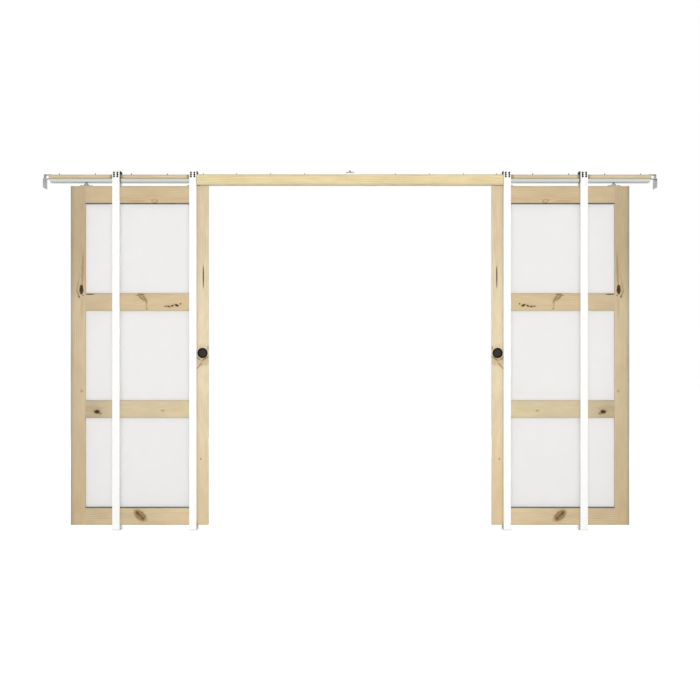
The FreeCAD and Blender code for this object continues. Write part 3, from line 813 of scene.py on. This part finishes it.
def turn_about(radii: np.ndarray, heights: np.ndarray) -> Shell:
    """A surface about the local Z axis from its radius and height on a grid.

    The point at ring i and turn j is (radius * cos(angle j), radius * sin(angle j), height).

    Args:
        radii: radius as (ring, place round the axis), in millimetres.
        heights: height on the same grid, in millimetres.

    Returns:
        The closed shell, in metres.
    """
    angles = np.linspace(0, 2 * np.pi, radii.shape[1], endpoint=False)
    return Shell.from_rings(np.stack([radii * np.cos(angles), radii * np.sin(angles), heights], axis=-1) * MM)


@dataclass(frozen=True)
class PanScrew:
    """A pan-head screw with a cross recess, in millimetres."""

    diameter: float = 11.4
    height: float = 1.8
    rim: float = 0.4
    crown: Pair = (0.96, 0.06)
    slot: float = 1.5
    slot_reach: float = 6.0
    slot_depth: float = 1.0
    slot_fade: float = 0.6
    rings: int = 9
    round_it: int = 24

    def shell(self) -> Shell:
        """Works out the head as a height over a polar grid.

        From the seat a straight rim rises to its share of the height, then the crown is an ellipse arc over
        the radius. Where a point is within half a slot's width of either arm of the cross, and within its
        reach, the recess's depth is taken off, faded at its edges.

        Returns:
            The head, with its seat at local Z 0.
        """
        share = np.concatenate([[1.0, 1.0], np.linspace(*self.crown, self.rings)])[:, None]
        angles = np.linspace(0, 2 * np.pi, self.round_it, endpoint=False)[None, :]
        radius = share * self.diameter / 2 * np.ones_like(angles)
        crown = self.height * (self.rim + (1 - self.rim) * np.sqrt(np.clip(1 - share**2, 0, 1)))
        height = crown * np.ones_like(angles)
        height[0] = 0
        x, y = np.abs(radius * np.cos(angles)), np.abs(radius * np.sin(angles))
        in_arm = np.clip((self.slot / 2 - np.minimum(x, y)) / self.slot_fade + 0.5, 0, 1)
        in_reach = np.clip((self.slot_reach / 2 - np.maximum(x, y)) / self.slot_fade + 0.5, 0, 1)
        height[2:] -= (self.slot_depth * in_arm * in_reach)[2:]
        return turn_about(radius, height)


@dataclass(frozen=True)
class HexNut:
    """A hexagon nut or bolt head with eased corners, in millimetres."""

    across_flats: float
    height: float
    ease: float = 1.03
    ease_height: float = 0.1
    round_it: int = 48

    def shell(self) -> Shell:
        """Works out the hexagon as a radius over the angle.

        Between corners the radius is half the width across flats divided by the cosine of the angle from
        the nearest flat's middle. At the two ends it is held to the ease times half the flats, over the
        ease's share of the height, which rounds the corners.

        Returns:
            The nut, with its seat at local Z 0.
        """
        angles = np.linspace(0, 2 * np.pi, self.round_it, endpoint=False)
        flat = self.across_flats / 2
        hexagon = flat / np.cos(np.mod(angles, np.pi / 3) - np.pi / 6)
        eased = np.minimum(hexagon, flat * self.ease)
        radii = np.stack([eased, hexagon, hexagon, eased])
        levels = np.array([0, self.ease_height, 1 - self.ease_height, 1])[:, None]
        return turn_about(radii, levels * self.height * np.ones_like(radii))


@dataclass(frozen=True)
class Thread:
    """A threaded rod or screw point, in millimetres."""

    diameter: float
    length: float
    pitch: float
    ridge: float
    taper: float = 0.0
    tip: float = 0.06
    rings_a_turn: int = 6
    least_rings: int = 8
    round_it: int = 16

    def shell(self) -> Shell:
        """Works out the thread as a radius over the angle and the length.

        The radius is half the diameter less the ridge times a triangle wave of the length over the pitch
        less the turn, so the ridge climbs one pitch a turn. Over the last taper millimetres everything
        draws in to the tip's share of it.

        Returns:
            The thread, from local Z 0 up.
        """
        steps = max(self.least_rings, int(self.length / self.pitch * self.rings_a_turn))
        along = np.linspace(0, self.length, steps)[:, None]
        turn = np.linspace(0, 1, self.round_it, endpoint=False)[None, :]
        wave = np.abs(2 * np.mod(along / self.pitch - turn, 1) - 1)
        radius = self.diameter / 2 - self.ridge * wave
        if self.taper:
            radius = radius * np.clip((self.length - along) / self.taper, self.tip, 1)
        return turn_about(radius, along * np.ones_like(turn))


def carried(section: np.ndarray, start: Vector, end: Vector, first: Vector, second: Vector) -> Shell:
    """A section carried along a straight path.

    The point of the section (p, q) at a path point is that point plus p times the first direction plus q
    times the second, and first, second and the path's direction make a right-handed set.

    Args:
        section: the outline as (corner, 2), counter-clockwise, in metres.
        start: the path's start.
        end: the path's end.
        first: the direction of the section's first number.
        second: the direction of the section's second number.

    Returns:
        The closed shell.
    """
    spread = section @ np.array([first, second], float)
    return Shell.from_rings(np.stack([np.array(start) + spread, np.array(end) + spread]))


@dataclass
class Header:
    """The timber header with its track, fascias, end brackets, bridge plate and their screws."""

    pine: Tones = ("#D7C6A2", "#D6C9A7", "#D7C6A2")
    fascia_pine: Tones = ("#E1D1A7", "#E1D1A7", "#E1D1A7")
    # The painted shadow of each stud on the board beside it: its tone and its mark.
    stud_shadow_tone: str = "#716C56"
    stud_shadow: Mark = Mark(0, 0, 22, 60, core=0.25, stain_and_shade=0.65, stain_and_shade_reach=2.4)
    point_lines_mm: tuple[float, ...] = (272, 477, 681, 879, 1095, 1311, 1527, 1743)
    point_offset_mm: float = -12
    point: Thread = Thread(diameter=7, length=9.5, pitch=2.6, ridge=1.0, taper=3)
    bolt: Thread = Thread(diameter=7.6, length=3, pitch=1.5, ridge=0.5)
    bolt_head: HexNut = HexNut(across_flats=10, height=8.5)
    flange_screw: PanScrew = PanScrew(diameter=8, height=5)
    flange_screw_edge_mm: float = 5

    def _stud_shadows(self) -> tuple[Mark, ...]:
        """The painted shadows of the studs on the board beside them, which stay clear of the fascias.

        Returns:
            A mark for each edge of a front stud that no fascia reaches.
        """
        low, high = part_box("header_board")
        fascia_low, fascia_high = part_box("front_fascia")
        studs = sorted(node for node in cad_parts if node.endswith("_front_stud"))
        height = (low.z + high.z) / 2 / MM
        return tuple(
            replace(self.stud_shadow, from_rear=corner.x / MM, height=height)
            for stud in studs
            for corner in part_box(stud)
            if not fascia_low.x - MM <= corner.x <= fascia_high.x + MM
        )

    def dress(self) -> None:
        """Gives the header's nodes their finishes."""
        boards = (
            PineBoard(
                "header_board",
                Grain.LEVEL,
                self.pine,
                seed=1,
                marks=self._stud_shadows(),
                pith_mm=(90, 30),
                # Painted shade along both long edges, at the top and at the seam with the track.
                edge_mm=11,
                edge_shade_tint=(0.66, 0.68, 0.7),
                stain_and_shade_tone=self.stud_shadow_tone,
            ),
            PineBoard("front_fascia", Grain.LEVEL, self.fascia_pine, seed=2, pith_mm=(70, 60)),
            PineBoard("back_fascia", Grain.LEVEL, self.fascia_pine, seed=3, pith_mm=(70, -60)),
        )
        for board in boards:
            dress(board.node, board.material())
        low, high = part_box("track")
        dress("track", EXTRUSION.between(low.z, high.z))
        dress("track_stops", RUBBER.material())
        zinc = ZINC.material()
        for node in ("left_end_bracket", "right_end_bracket"):
            dress(node, zinc)
        dress("centre_bridge", POWDER_COAT.material())

    def build(self) -> None:
        """Adds the points of the track screws, the lintel bolt and the flange screws."""
        low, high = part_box("header_board")
        middle = (low.x + high.x) / 2
        lines = np.array(self.point_lines_mm) * MM
        places = [(middle + x, self.point_offset_mm * MM, high.z) for x in (*-lines, *lines)]
        points = self.point.shell().repeated(places)
        points.piece("track_screw_points", "frame", "zinc_steel", SCREW_STEEL.material())
        bridge_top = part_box("centre_bridge")[1].z
        bolt = self.bolt.shell().repeated([(middle, 0, bridge_top - self.bolt.length * MM)])
        head = self.bolt_head.shell().repeated([(middle, 0, bridge_top)])
        bolt.joined(head).piece("lintel_bolt", "frame", "dark_steel", BLACK_OXIDE.material())
        flange_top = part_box("left_end_bracket")[1].z
        inset = self.flange_screw_edge_mm * MM
        places = [(x, 0, flange_top) for x in (low.x + inset, high.x - inset)]
        screws = self.flange_screw.shell().repeated(places)
        screws.piece("end_flange_screws", "frame", "zinc_steel", SCREW_STEEL.material())


@dataclass
class SplitStuds:
    """The split steel studs with their saddles, mouth guides and floor plates."""

    hole_columns_mm: float = 20.3
    hole_pitch_mm: float = 11.5
    hole_rows: int = 3
    hole_edge_mm: float = 19.0
    screw: PanScrew = PanScrew()
    floor_screw: PanScrew = PanScrew(diameter=11, height=3, slot=1.8, slot_reach=6.4, slot_depth=1.6)
    floor_spread_mm: float = 24.0
    floor_gauge_mm: float = 2.0

    def dress(self) -> None:
        """Gives the studs and what ties them their finishes."""
        coats = {
            "_stud": POWDER_COAT.material(),
            "_saddle": BLACK_OXIDE.material(),
            "_guide": ZINC.material(),
            "_floor_plate": PALE_ZINC.material(),
        }
        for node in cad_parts:
            for ending, coat in coats.items():
                if node.endswith(ending):
                    dress(node, coat)

    def build(self) -> None:
        """Adds the screws at the studs' tops, front and back, and the floor screws."""
        black = BLACK_OXIDE.material()
        columns = np.array([-0.5, 0.5]) * self.hole_columns_mm * MM
        rows = (self.hole_edge_mm + self.hole_pitch_mm * np.arange(self.hole_rows)) * MM
        for face, facing in (("front", Facing.FRONT), ("back", Facing.BACK)):
            places = []
            for node in sorted(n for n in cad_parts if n.endswith(f"_{face}_stud")):
                low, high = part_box(node)
                y = low.y if facing is Facing.FRONT else high.y
                places += [((low.x + high.x) / 2 + x, y, high.z - z) for x in columns for z in rows]
            screws = self.screw.shell().repeated(places, facing)
            screws.piece(f"{face}_stud_screws", "frame", "dark_steel", black)
        places = []
        for node in sorted(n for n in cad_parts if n.endswith("_floor_plate")):
            low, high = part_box(node)
            x, top = (low.x + high.x) / 2, low.z + self.floor_gauge_mm * MM
            places += [(x, sign * self.floor_spread_mm / 2 * MM, top) for sign in (-1, 1)]
        screws = self.floor_screw.shell().repeated(places)
        screws.piece("floor_screws", "frame", "zinc_steel", SCREW_STEEL.material())


# The boards of the left leaf, which the right one mirrors, with the tones and marks of each.
LEAF_BOARDS = (
    PineBoard(
        "rear_stile",
        Grain.UPRIGHT,
        ("#C7B492", "#CDBB9D", "#BCA98B"),
        seed=11,
        pith_mm=(150, 40),
        middle_at=0.62,
        end_at=0.76,
        # Painted shade along the rear edge.
        edge_mm=32,
        edge_shade_tint=(0.6, 0.7, 0.9),
        rear_edge_only=True,
        marks=(
            Mark(71, 1525, 9, 175, tilt=2.4, stain_and_shade=0.6, swirl=6),
            Mark(67, 1300, 14, 110, stain_and_shade=0.2),
            Mark(43, 1443, 6, 84, tilt=10, stain_and_shade=0.4, stain_and_shade_reach=1.7),
            Mark(43.5, 1386, 7, 44, tilt=-20, core=0.1, stain_and_shade=0.55),
            Mark(50.5, 1369, 9, 14, tilt=-20, core=0.7, stain_and_shade=0.4),
            Mark(74, 1376, 8, 9, core=0.5, stain_and_shade=0.4),
            Mark(64.2, 1412, 23, 58, core=1.0, stain_and_shade=0.6, stain_and_shade_reach=1.35, swirl=26),
            Mark(66.8, 803, 12, 12, core=0.12, stain_and_shade=0.4, stain_and_shade_reach=2.2, swirl=10),
        ),
    ),
    PineBoard(
        "lead_stile",
        Grain.UPRIGHT,
        ("#D5C3A0", "#E0D1B3", "#D4C5A7"),
        seed=12,
        pith_mm=(110, 70),
        contrast=0.35,
        # Painted shadow of the mouth stud along the rear edge.
        edge_mm=45,
        edge_shade_tint=(0.5, 0.64, 0.82),
        rear_edge_only=True,
        marks=(
            Mark(794.8, 1492, 7, 130, core=1.0, stain_and_shade=0.25, swirl=2),
            Mark(789, 1031, 62, 100, stain_and_shade=0.2, stain_and_shade_reach=1.4, swirl=30),
            Mark(789, 982, 74, 44, stain_and_shade=0.3),
            Mark(764, 999, 8, 30, tilt=-50, core=0.4),
            Mark(770, 953, 7, 48, tilt=42, core=0.3, stain_and_shade_reach=1.7),
            Mark(809, 1000, 9, 46, tilt=57, core=0.4),
            Mark(822, 1062, 8, 20, core=0.2, stain_and_shade_reach=1.8),
            Mark(779.8, 396, 7, 10, core=0.5, stain_and_shade=0.4, stain_and_shade_reach=2.2, swirl=5),
        ),
    ),
    PineBoard(
        "top_rail",
        Grain.LEVEL,
        ("#C5B394", "#CCB795", "#CEBA98"),
        seed=13,
        pith_mm=(-120, 50),
        contrast=0.4,
        marks=(
            Mark(502, 1943, 28, 24, stain_and_shade=0.12, stain_and_shade_reach=1.4, swirl=9),
            Mark(487, 1945, 6, 16, core=0.2, stain_and_shade=0.45),
            Mark(517, 1939, 6, 18, tilt=15, core=0.3, stain_and_shade=0.45),
            Mark(500, 1931, 22, 5, core=0.35, stain_and_shade=0.45),
            Mark(502, 1954, 16, 4, core=0.1, stain_and_shade=0.3),
            Mark(400, 1941, 90, 10, stain_and_shade=0.3, stain_and_shade_reach=1.5, swirl=4),
        ),
    ),
    PineBoard(
        "upper_mid_rail",
        Grain.LEVEL,
        ("#C8B798", "#CEBC99", "#D1BC98"),
        seed=14,
        pith_mm=(100, 64),
        contrast=0.4,
        marks=(
            Mark(429, 1369, 24, 60, tilt=-42, stain_and_shade_reach=1.7, swirl=14),
            Mark(410, 1379, 40, 7, tilt=-8, core=0.5, stain_and_shade=0.4),
            Mark(432, 1381, 26, 6, core=0.4, stain_and_shade=0.3),
            Mark(420, 1362, 7, 34, tilt=-50, core=0.35, stain_and_shade_reach=1.7),
            Mark(446, 1352, 7, 48, tilt=-34, core=0.3, stain_and_shade_reach=1.7),
            Mark(452, 1325, 6, 30, tilt=-8, core=0.1, stain_and_shade=0.45, stain_and_shade_reach=1.7),
            Mark(570, 1311, 18, 7, core=0.7, stain_and_shade=0.4, stain_and_shade_reach=2.2),
            Mark(587.8, 1310, 16, 9, tilt=20, core=0.85, stain_and_shade_reach=2.2, swirl=5),
            Mark(608.8, 1314, 17, 9, tilt=-20, core=1.0, stain_and_shade=0.45, stain_and_shade_reach=1.8, swirl=4),
            Mark(635, 1317, 25, 13, tilt=24, core=1.0, stain_and_shade_reach=1.8, swirl=8),
            Mark(658, 1326, 10, 9, core=0.9, stain_and_shade=0.4, stain_and_shade_reach=1.8),
            Mark(455.8, 1298, 9, 7, core=0.45, stain_and_shade_reach=2.2, swirl=5),
            Mark(117, 1383, 56, 6, core=1.0, stain_and_shade=0.3),
        ),
    ),
    PineBoard(
        "lower_mid_rail",
        Grain.LEVEL,
        ("#C0B498", "#D1C1A2", "#D5C7A2"),
        seed=15,
        pith_mm=(-130, 44),
        marks=(
            Mark(132, 672, 96, 90, stain_and_shade=0.18, stain_and_shade_reach=1.5),
            Mark(178, 668, 18, 8, tilt=-30, core=0.5),
            Mark(140, 684, 14, 7, tilt=10, core=0.3, stain_and_shade=0.4),
            Mark(157.8, 679, 32, 23, core=1.0, stain_and_shade=0.6, swirl=24),
            Mark(551.8, 686, 16, 10, core=0.1, stain_and_shade=0.4, stain_and_shade_reach=2.2, swirl=10),
        ),
    ),
    PineBoard(
        "bottom_rail",
        Grain.LEVEL,
        ("#C8B899", "#CDBD9C", "#D9C7A5"),
        seed=16,
        pith_mm=(140, 58),
        marks=(
            Mark(416.8, 57, 46, 78, tilt=-48, core=0.35, stain_and_shade=0.7, stain_and_shade_reach=1.5, swirl=26),
            Mark(402, 70, 14, 30, tilt=-35, core=0.7, stain_and_shade=0.3),
            Mark(420, 54, 10, 34, tilt=-50, core=0.5, stain_and_shade=0.3),
            Mark(434, 40, 22, 10, tilt=-20, core=0.6, stain_and_shade=0.3),
        ),
    ),
)


@dataclass
class DoorLeaf:
    """One glazed door leaf with its pulls, hangers, trolleys and glazing seals."""

    side: Side
    seal_mm: Pair = (11.5, 1.3)
    seal_tuck_mm: float = 0.3
    # A line of painted shade along the top and bottom rails' edges beside the glass, and where it lies.
    shadow_line: Mark = Mark(0, 0, 1600, 5, core=0.75, stain_and_shade=0.0)
    shadow_line_inset: float = 0.45
    shadow_lined_edges: tuple[tuple[str, int], ...] = (("top_rail", 0), ("bottom_rail", 1))
    nut: HexNut = HexNut(across_flats=13, height=6)
    hanger_half_mm: float = 37.5
    hanger_gauge_mm: float = 5.0
    hanger_screw: PanScrew = PanScrew(diameter=8, height=1.6)
    hanger_screw_mm: Pair = (27.0, 9.0)
    boards: tuple[PineBoard, ...] = LEAF_BOARDS

    @property
    def body(self) -> str:
        """The CAD body of the leaf."""
        return f"{self.side.value}_door"

    def _box(self, name: str) -> tuple[Vector, Vector]:
        """The lowest and highest corners of one of the leaf's nodes."""
        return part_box(f"{self.body}_{name}")

    def _shadow_line(self, name: str, edge: int) -> Mark:
        """A line of painted shade along a rail's edge beside the glass: a very long, thin mark just inside
        it.

        Args:
            name: the rail.
            edge: 0 for its lower edge, 1 for its upper one.

        Returns:
            The mark.
        """
        low = self._box("rear_stile")[0]
        width = abs(self._box("lead_stile")[0].x - low.x) / MM
        inside = self.shadow_line.tall * (self.shadow_line_inset if edge == 0 else -self.shadow_line_inset)
        height = (self._box(name)[edge].z - low.z) / MM + inside
        return replace(self.shadow_line, from_rear=width / 2, height=height)

    def _fitted(self, board: PineBoard) -> PineBoard:
        """Fits a board to this leaf: its node, its painted shade line, and where its marks are measured from.

        Args:
            board: the board as it is written.

        Returns:
            The board of this leaf.
        """
        low, high = self._box("rear_stile")
        left = self.side is Side.LEFT
        shadow_lines = tuple(self._shadow_line(name, edge) for name, edge in self.shadow_lined_edges if name == board.node)
        return replace(
            board,
            node=f"{self.body}_{board.node}",
            marks=board.marks + shadow_lines,
            mirrored=not left,
            rear_edge=low.x if left else high.x,
            foot=low.z,
        )

    def dress(self) -> None:
        """Gives the leaf's nodes their finishes."""
        zinc = ZINC.material()
        coats = {board.node: self._fitted(board).material() for board in self.boards}
        coats |= {
            "glass": ETCHED_GLASS.material(),
            "pulls": PULL_BLACK.about(sum(self._box("pulls"), Vector()) / 2),
            "hangers": zinc,
            "trolleys": zinc,
            "wheels": NYLON.material(),
        }
        for name, coat in coats.items():
            dress(f"{self.body}_{name}", coat)

    def _seals(self) -> Shell:
        """Works out the glazing seals: a strip under the top rail and one over the bottom rail.

        Each is a section carried along the rail from stile to stile, on the front and on the back of the
        glass.

        Returns:
            All the seals of the leaf.
        """
        foot, head = self._box("bottom_rail")[1].z, self._box("top_rail")[0].z
        first, second = sorted((self._box("rear_stile"), self._box("lead_stile")), key=lambda box: box[0].x)
        left, right = first[1].x, second[0].x
        glass_low, glass_high = self._box("glass")
        depth, thick = np.array(self.seal_mm) * MM
        tuck = self.seal_tuck_mm * MM
        up, front = Vector((0, 0, 1)), Vector((0, -1, 0))
        strip = np.array([(-tuck, -tuck), (depth, -tuck), (depth - thick, thick), (-tuck, thick)])
        shells = []
        for face, y, low, high in ((front, glass_low.y, left, right), (-front, glass_high.y, right, left)):
            shells.append(carried(strip, Vector((low, y, foot)), Vector((high, y, foot)), face, up))
            shells.append(carried(strip, Vector((high, y, head)), Vector((low, y, head)), face, -up))
        return shells[0].joined(*shells[1:])

    def build(self) -> None:
        """Adds the glazing seals, the hanger nuts and the hanger screws."""
        self._seals().piece(f"{self.body}_glazing_seals", self.body, "rubber", RUBBER.material())
        low, high = self._box("hangers")
        half = self.hanger_half_mm * MM
        lines = (low.x + half, high.x - half)
        plate_top = low.z + self.hanger_gauge_mm * MM
        zinc = ZINC.material()
        nuts = self.nut.shell().repeated([(x, 0, high.z) for x in lines])
        nuts.piece(f"{self.body}_hanger_nuts", self.body, "zinc_steel", zinc)
        x_step, y_step = np.array(self.hanger_screw_mm) * MM
        places = [(x + i * x_step, j * y_step, plate_top) for x in lines for i in (-1, 1) for j in (-1, 1)]
        screws = self.hanger_screw.shell().repeated(places)
        screws.piece(f"{self.body}_hanger_screws", self.body, "zinc_steel", zinc)


@dataclass
class Studio:
    """A white floor and surround, soft lamps and the camera at the photograph's place."""

    image_px: float = 700
    focal_px: float = 1065.7
    middle_px: float = 350.05
    eye_height_mm: float = 1079
    distance_mm: float = 6360
    sensor_mm: float = 36
    floor_m: float = 60
    floor_drop_mm: float = 0.2
    floor_grey: str = "#DCDCDC"
    floor_lift: float = 0.565
    ambient: float = 0.62
    lamp_m: Pair = (7.0, 0.15)
    lamp_size_m: float = 2.2
    key_watts: float = 236
    fill_watts: float = 219
    side_m: float = 12.0
    side_watts: float = 450

    def _seen(self, tree: Tree) -> Socket:
        """Adds a value that is 1 for rays which show the surround: from the camera, in gloss, through glass.

        Args:
            tree: the node tree of the world or the floor.

        Returns:
            The value.
        """
        rays = add_node(tree, "LightPath").outputs
        seen = rays["Is Camera Ray"]
        for ray in ("Is Glossy Ray", "Is Transmission Ray"):
            seen = add_node(tree, "Math", {0: seen, 1: rays[ray]}, operation="MAXIMUM").outputs[0]
        return seen

    def surround(self) -> None:
        """Makes the world: white where it is seen, softer where it lights the object."""
        world = bpy.data.worlds.new("white_surround")
        bpy.context.scene.world = world
        world.use_nodes = True
        tree = world.node_tree
        level = add_node(tree, "MapRange", Spread(low=self.ambient).of(self._seen(tree)))
        set_inputs(tree, tree.nodes["Background"], {"Color": (1, 1, 1, 1), "Strength": level})

    def floor(self) -> None:
        """Makes the floor: a pale sheet just under the feet, lifted to white where it is seen."""
        half = self.floor_m / 2
        corners = np.array([(-half, -half), (half, -half), (half, half), (-half, half)])
        points = np.column_stack([corners, np.full(4, -self.floor_drop_mm * MM)])
        mesh = bpy.data.meshes.new("floor")
        mesh.from_pydata(points.tolist(), [], [(0, 1, 2, 3)])
        sheet = bpy.data.objects.new("floor", mesh)
        bpy.context.scene.collection.objects.link(sheet)
        material, tree, shader = start_material("pale_floor")
        lift = {0: self._seen(tree), 1: self.floor_lift}
        surface = {
            "Base Color": linear(self.floor_grey),
            "Roughness": 1.0,
            "Specular IOR Level": 0.0,
            "Emission Color": (1, 1, 1, 1),
            "Emission Strength": add_node(tree, "Math", lift, operation="MULTIPLY"),
        }
        set_inputs(tree, shader, surface)
        mesh.materials.append(material)

    def lamp(self, name: str, place: Vector, aim: Vector, watts: float) -> None:
        """Adds one square soft lamp, unseen, so that metal and glass show the surround and not the lamp.

        Args:
            name: the lamp's name.
            place: where it stands.
            aim: the point that it faces.
            watts: its power.
        """
        light = bpy.data.lights.new(name, "AREA")
        light.size = self.lamp_size_m
        light.energy = watts
        lamp = bpy.data.objects.new(name, light)
        lamp.location = place
        lamp.rotation_euler = (aim - place).to_track_quat("-Z", "Y").to_euler()
        lamp.visible_camera = False
        lamp.visible_glossy = False
        lamp.visible_transmission = False
        bpy.context.scene.collection.objects.link(lamp)

    def lamps(self, middle: Vector) -> None:
        """Adds a soft lamp on each side.

        The front one is so near the camera that the studs hide their own shadows, and the two at the ends
        stand in line with the frame, so that they light edges and leave the faces alone.

        Args:
            middle: the middle of the object.
        """
        away, up = self.lamp_m
        for name, x, y, watts in (
            ("front_lamp", 0, -away, self.key_watts),
            ("back_lamp", 0, away, self.fill_watts),
            ("left_lamp", -self.side_m, 0, self.side_watts),
            ("right_lamp", self.side_m, 0, self.side_watts),
        ):
            self.lamp(name, middle + Vector((x, y, up)), middle, watts)

    def camera(self, middle: Vector, front: float) -> None:
        """Sets the camera level, square to the frame, at the photograph's distance and height.

        Args:
            middle: the middle of the object.
            front: Y of the studs' front faces.
        """
        data = bpy.data.cameras.new("photo_camera")
        data.sensor_width = self.sensor_mm
        data.lens = self.focal_px / self.image_px * self.sensor_mm
        data.clip_end = self.floor_m
        mm_per_px = self.distance_mm / self.focal_px
        aside = (self.middle_px - self.image_px / 2) * mm_per_px * MM
        camera = bpy.data.objects.new("photo_camera", data)
        camera.location = (middle.x - aside, front - self.distance_mm * MM, self.eye_height_mm * MM)
        camera.rotation_euler = (math.pi / 2, 0, 0)
        bpy.context.scene.collection.objects.link(camera)
        bpy.context.scene.camera = camera

    def set_up(self) -> None:
        """Makes the surround, floor, lamps and camera."""
        low, high = CAD_BOX
        middle = (low + high) / 2
        bpy.context.scene.view_settings.view_transform = "Standard"
        self.surround()
        self.floor()
        self.lamps(middle)
        self.camera(middle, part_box("left_mouth_front_stud")[0].y)


def main() -> None:
    """Dresses the frame and the doors, adds their small pieces and sets up the studio."""
    logging.basicConfig(level=logging.INFO, format="%(name)s: %(message)s")
    for assembly in (Header(), SplitStuds(), DoorLeaf(Side.LEFT), DoorLeaf(Side.RIGHT)):
        assembly.dress()
        assembly.build()
    Studio().set_up()


if __name__ == "__main__":
    main()
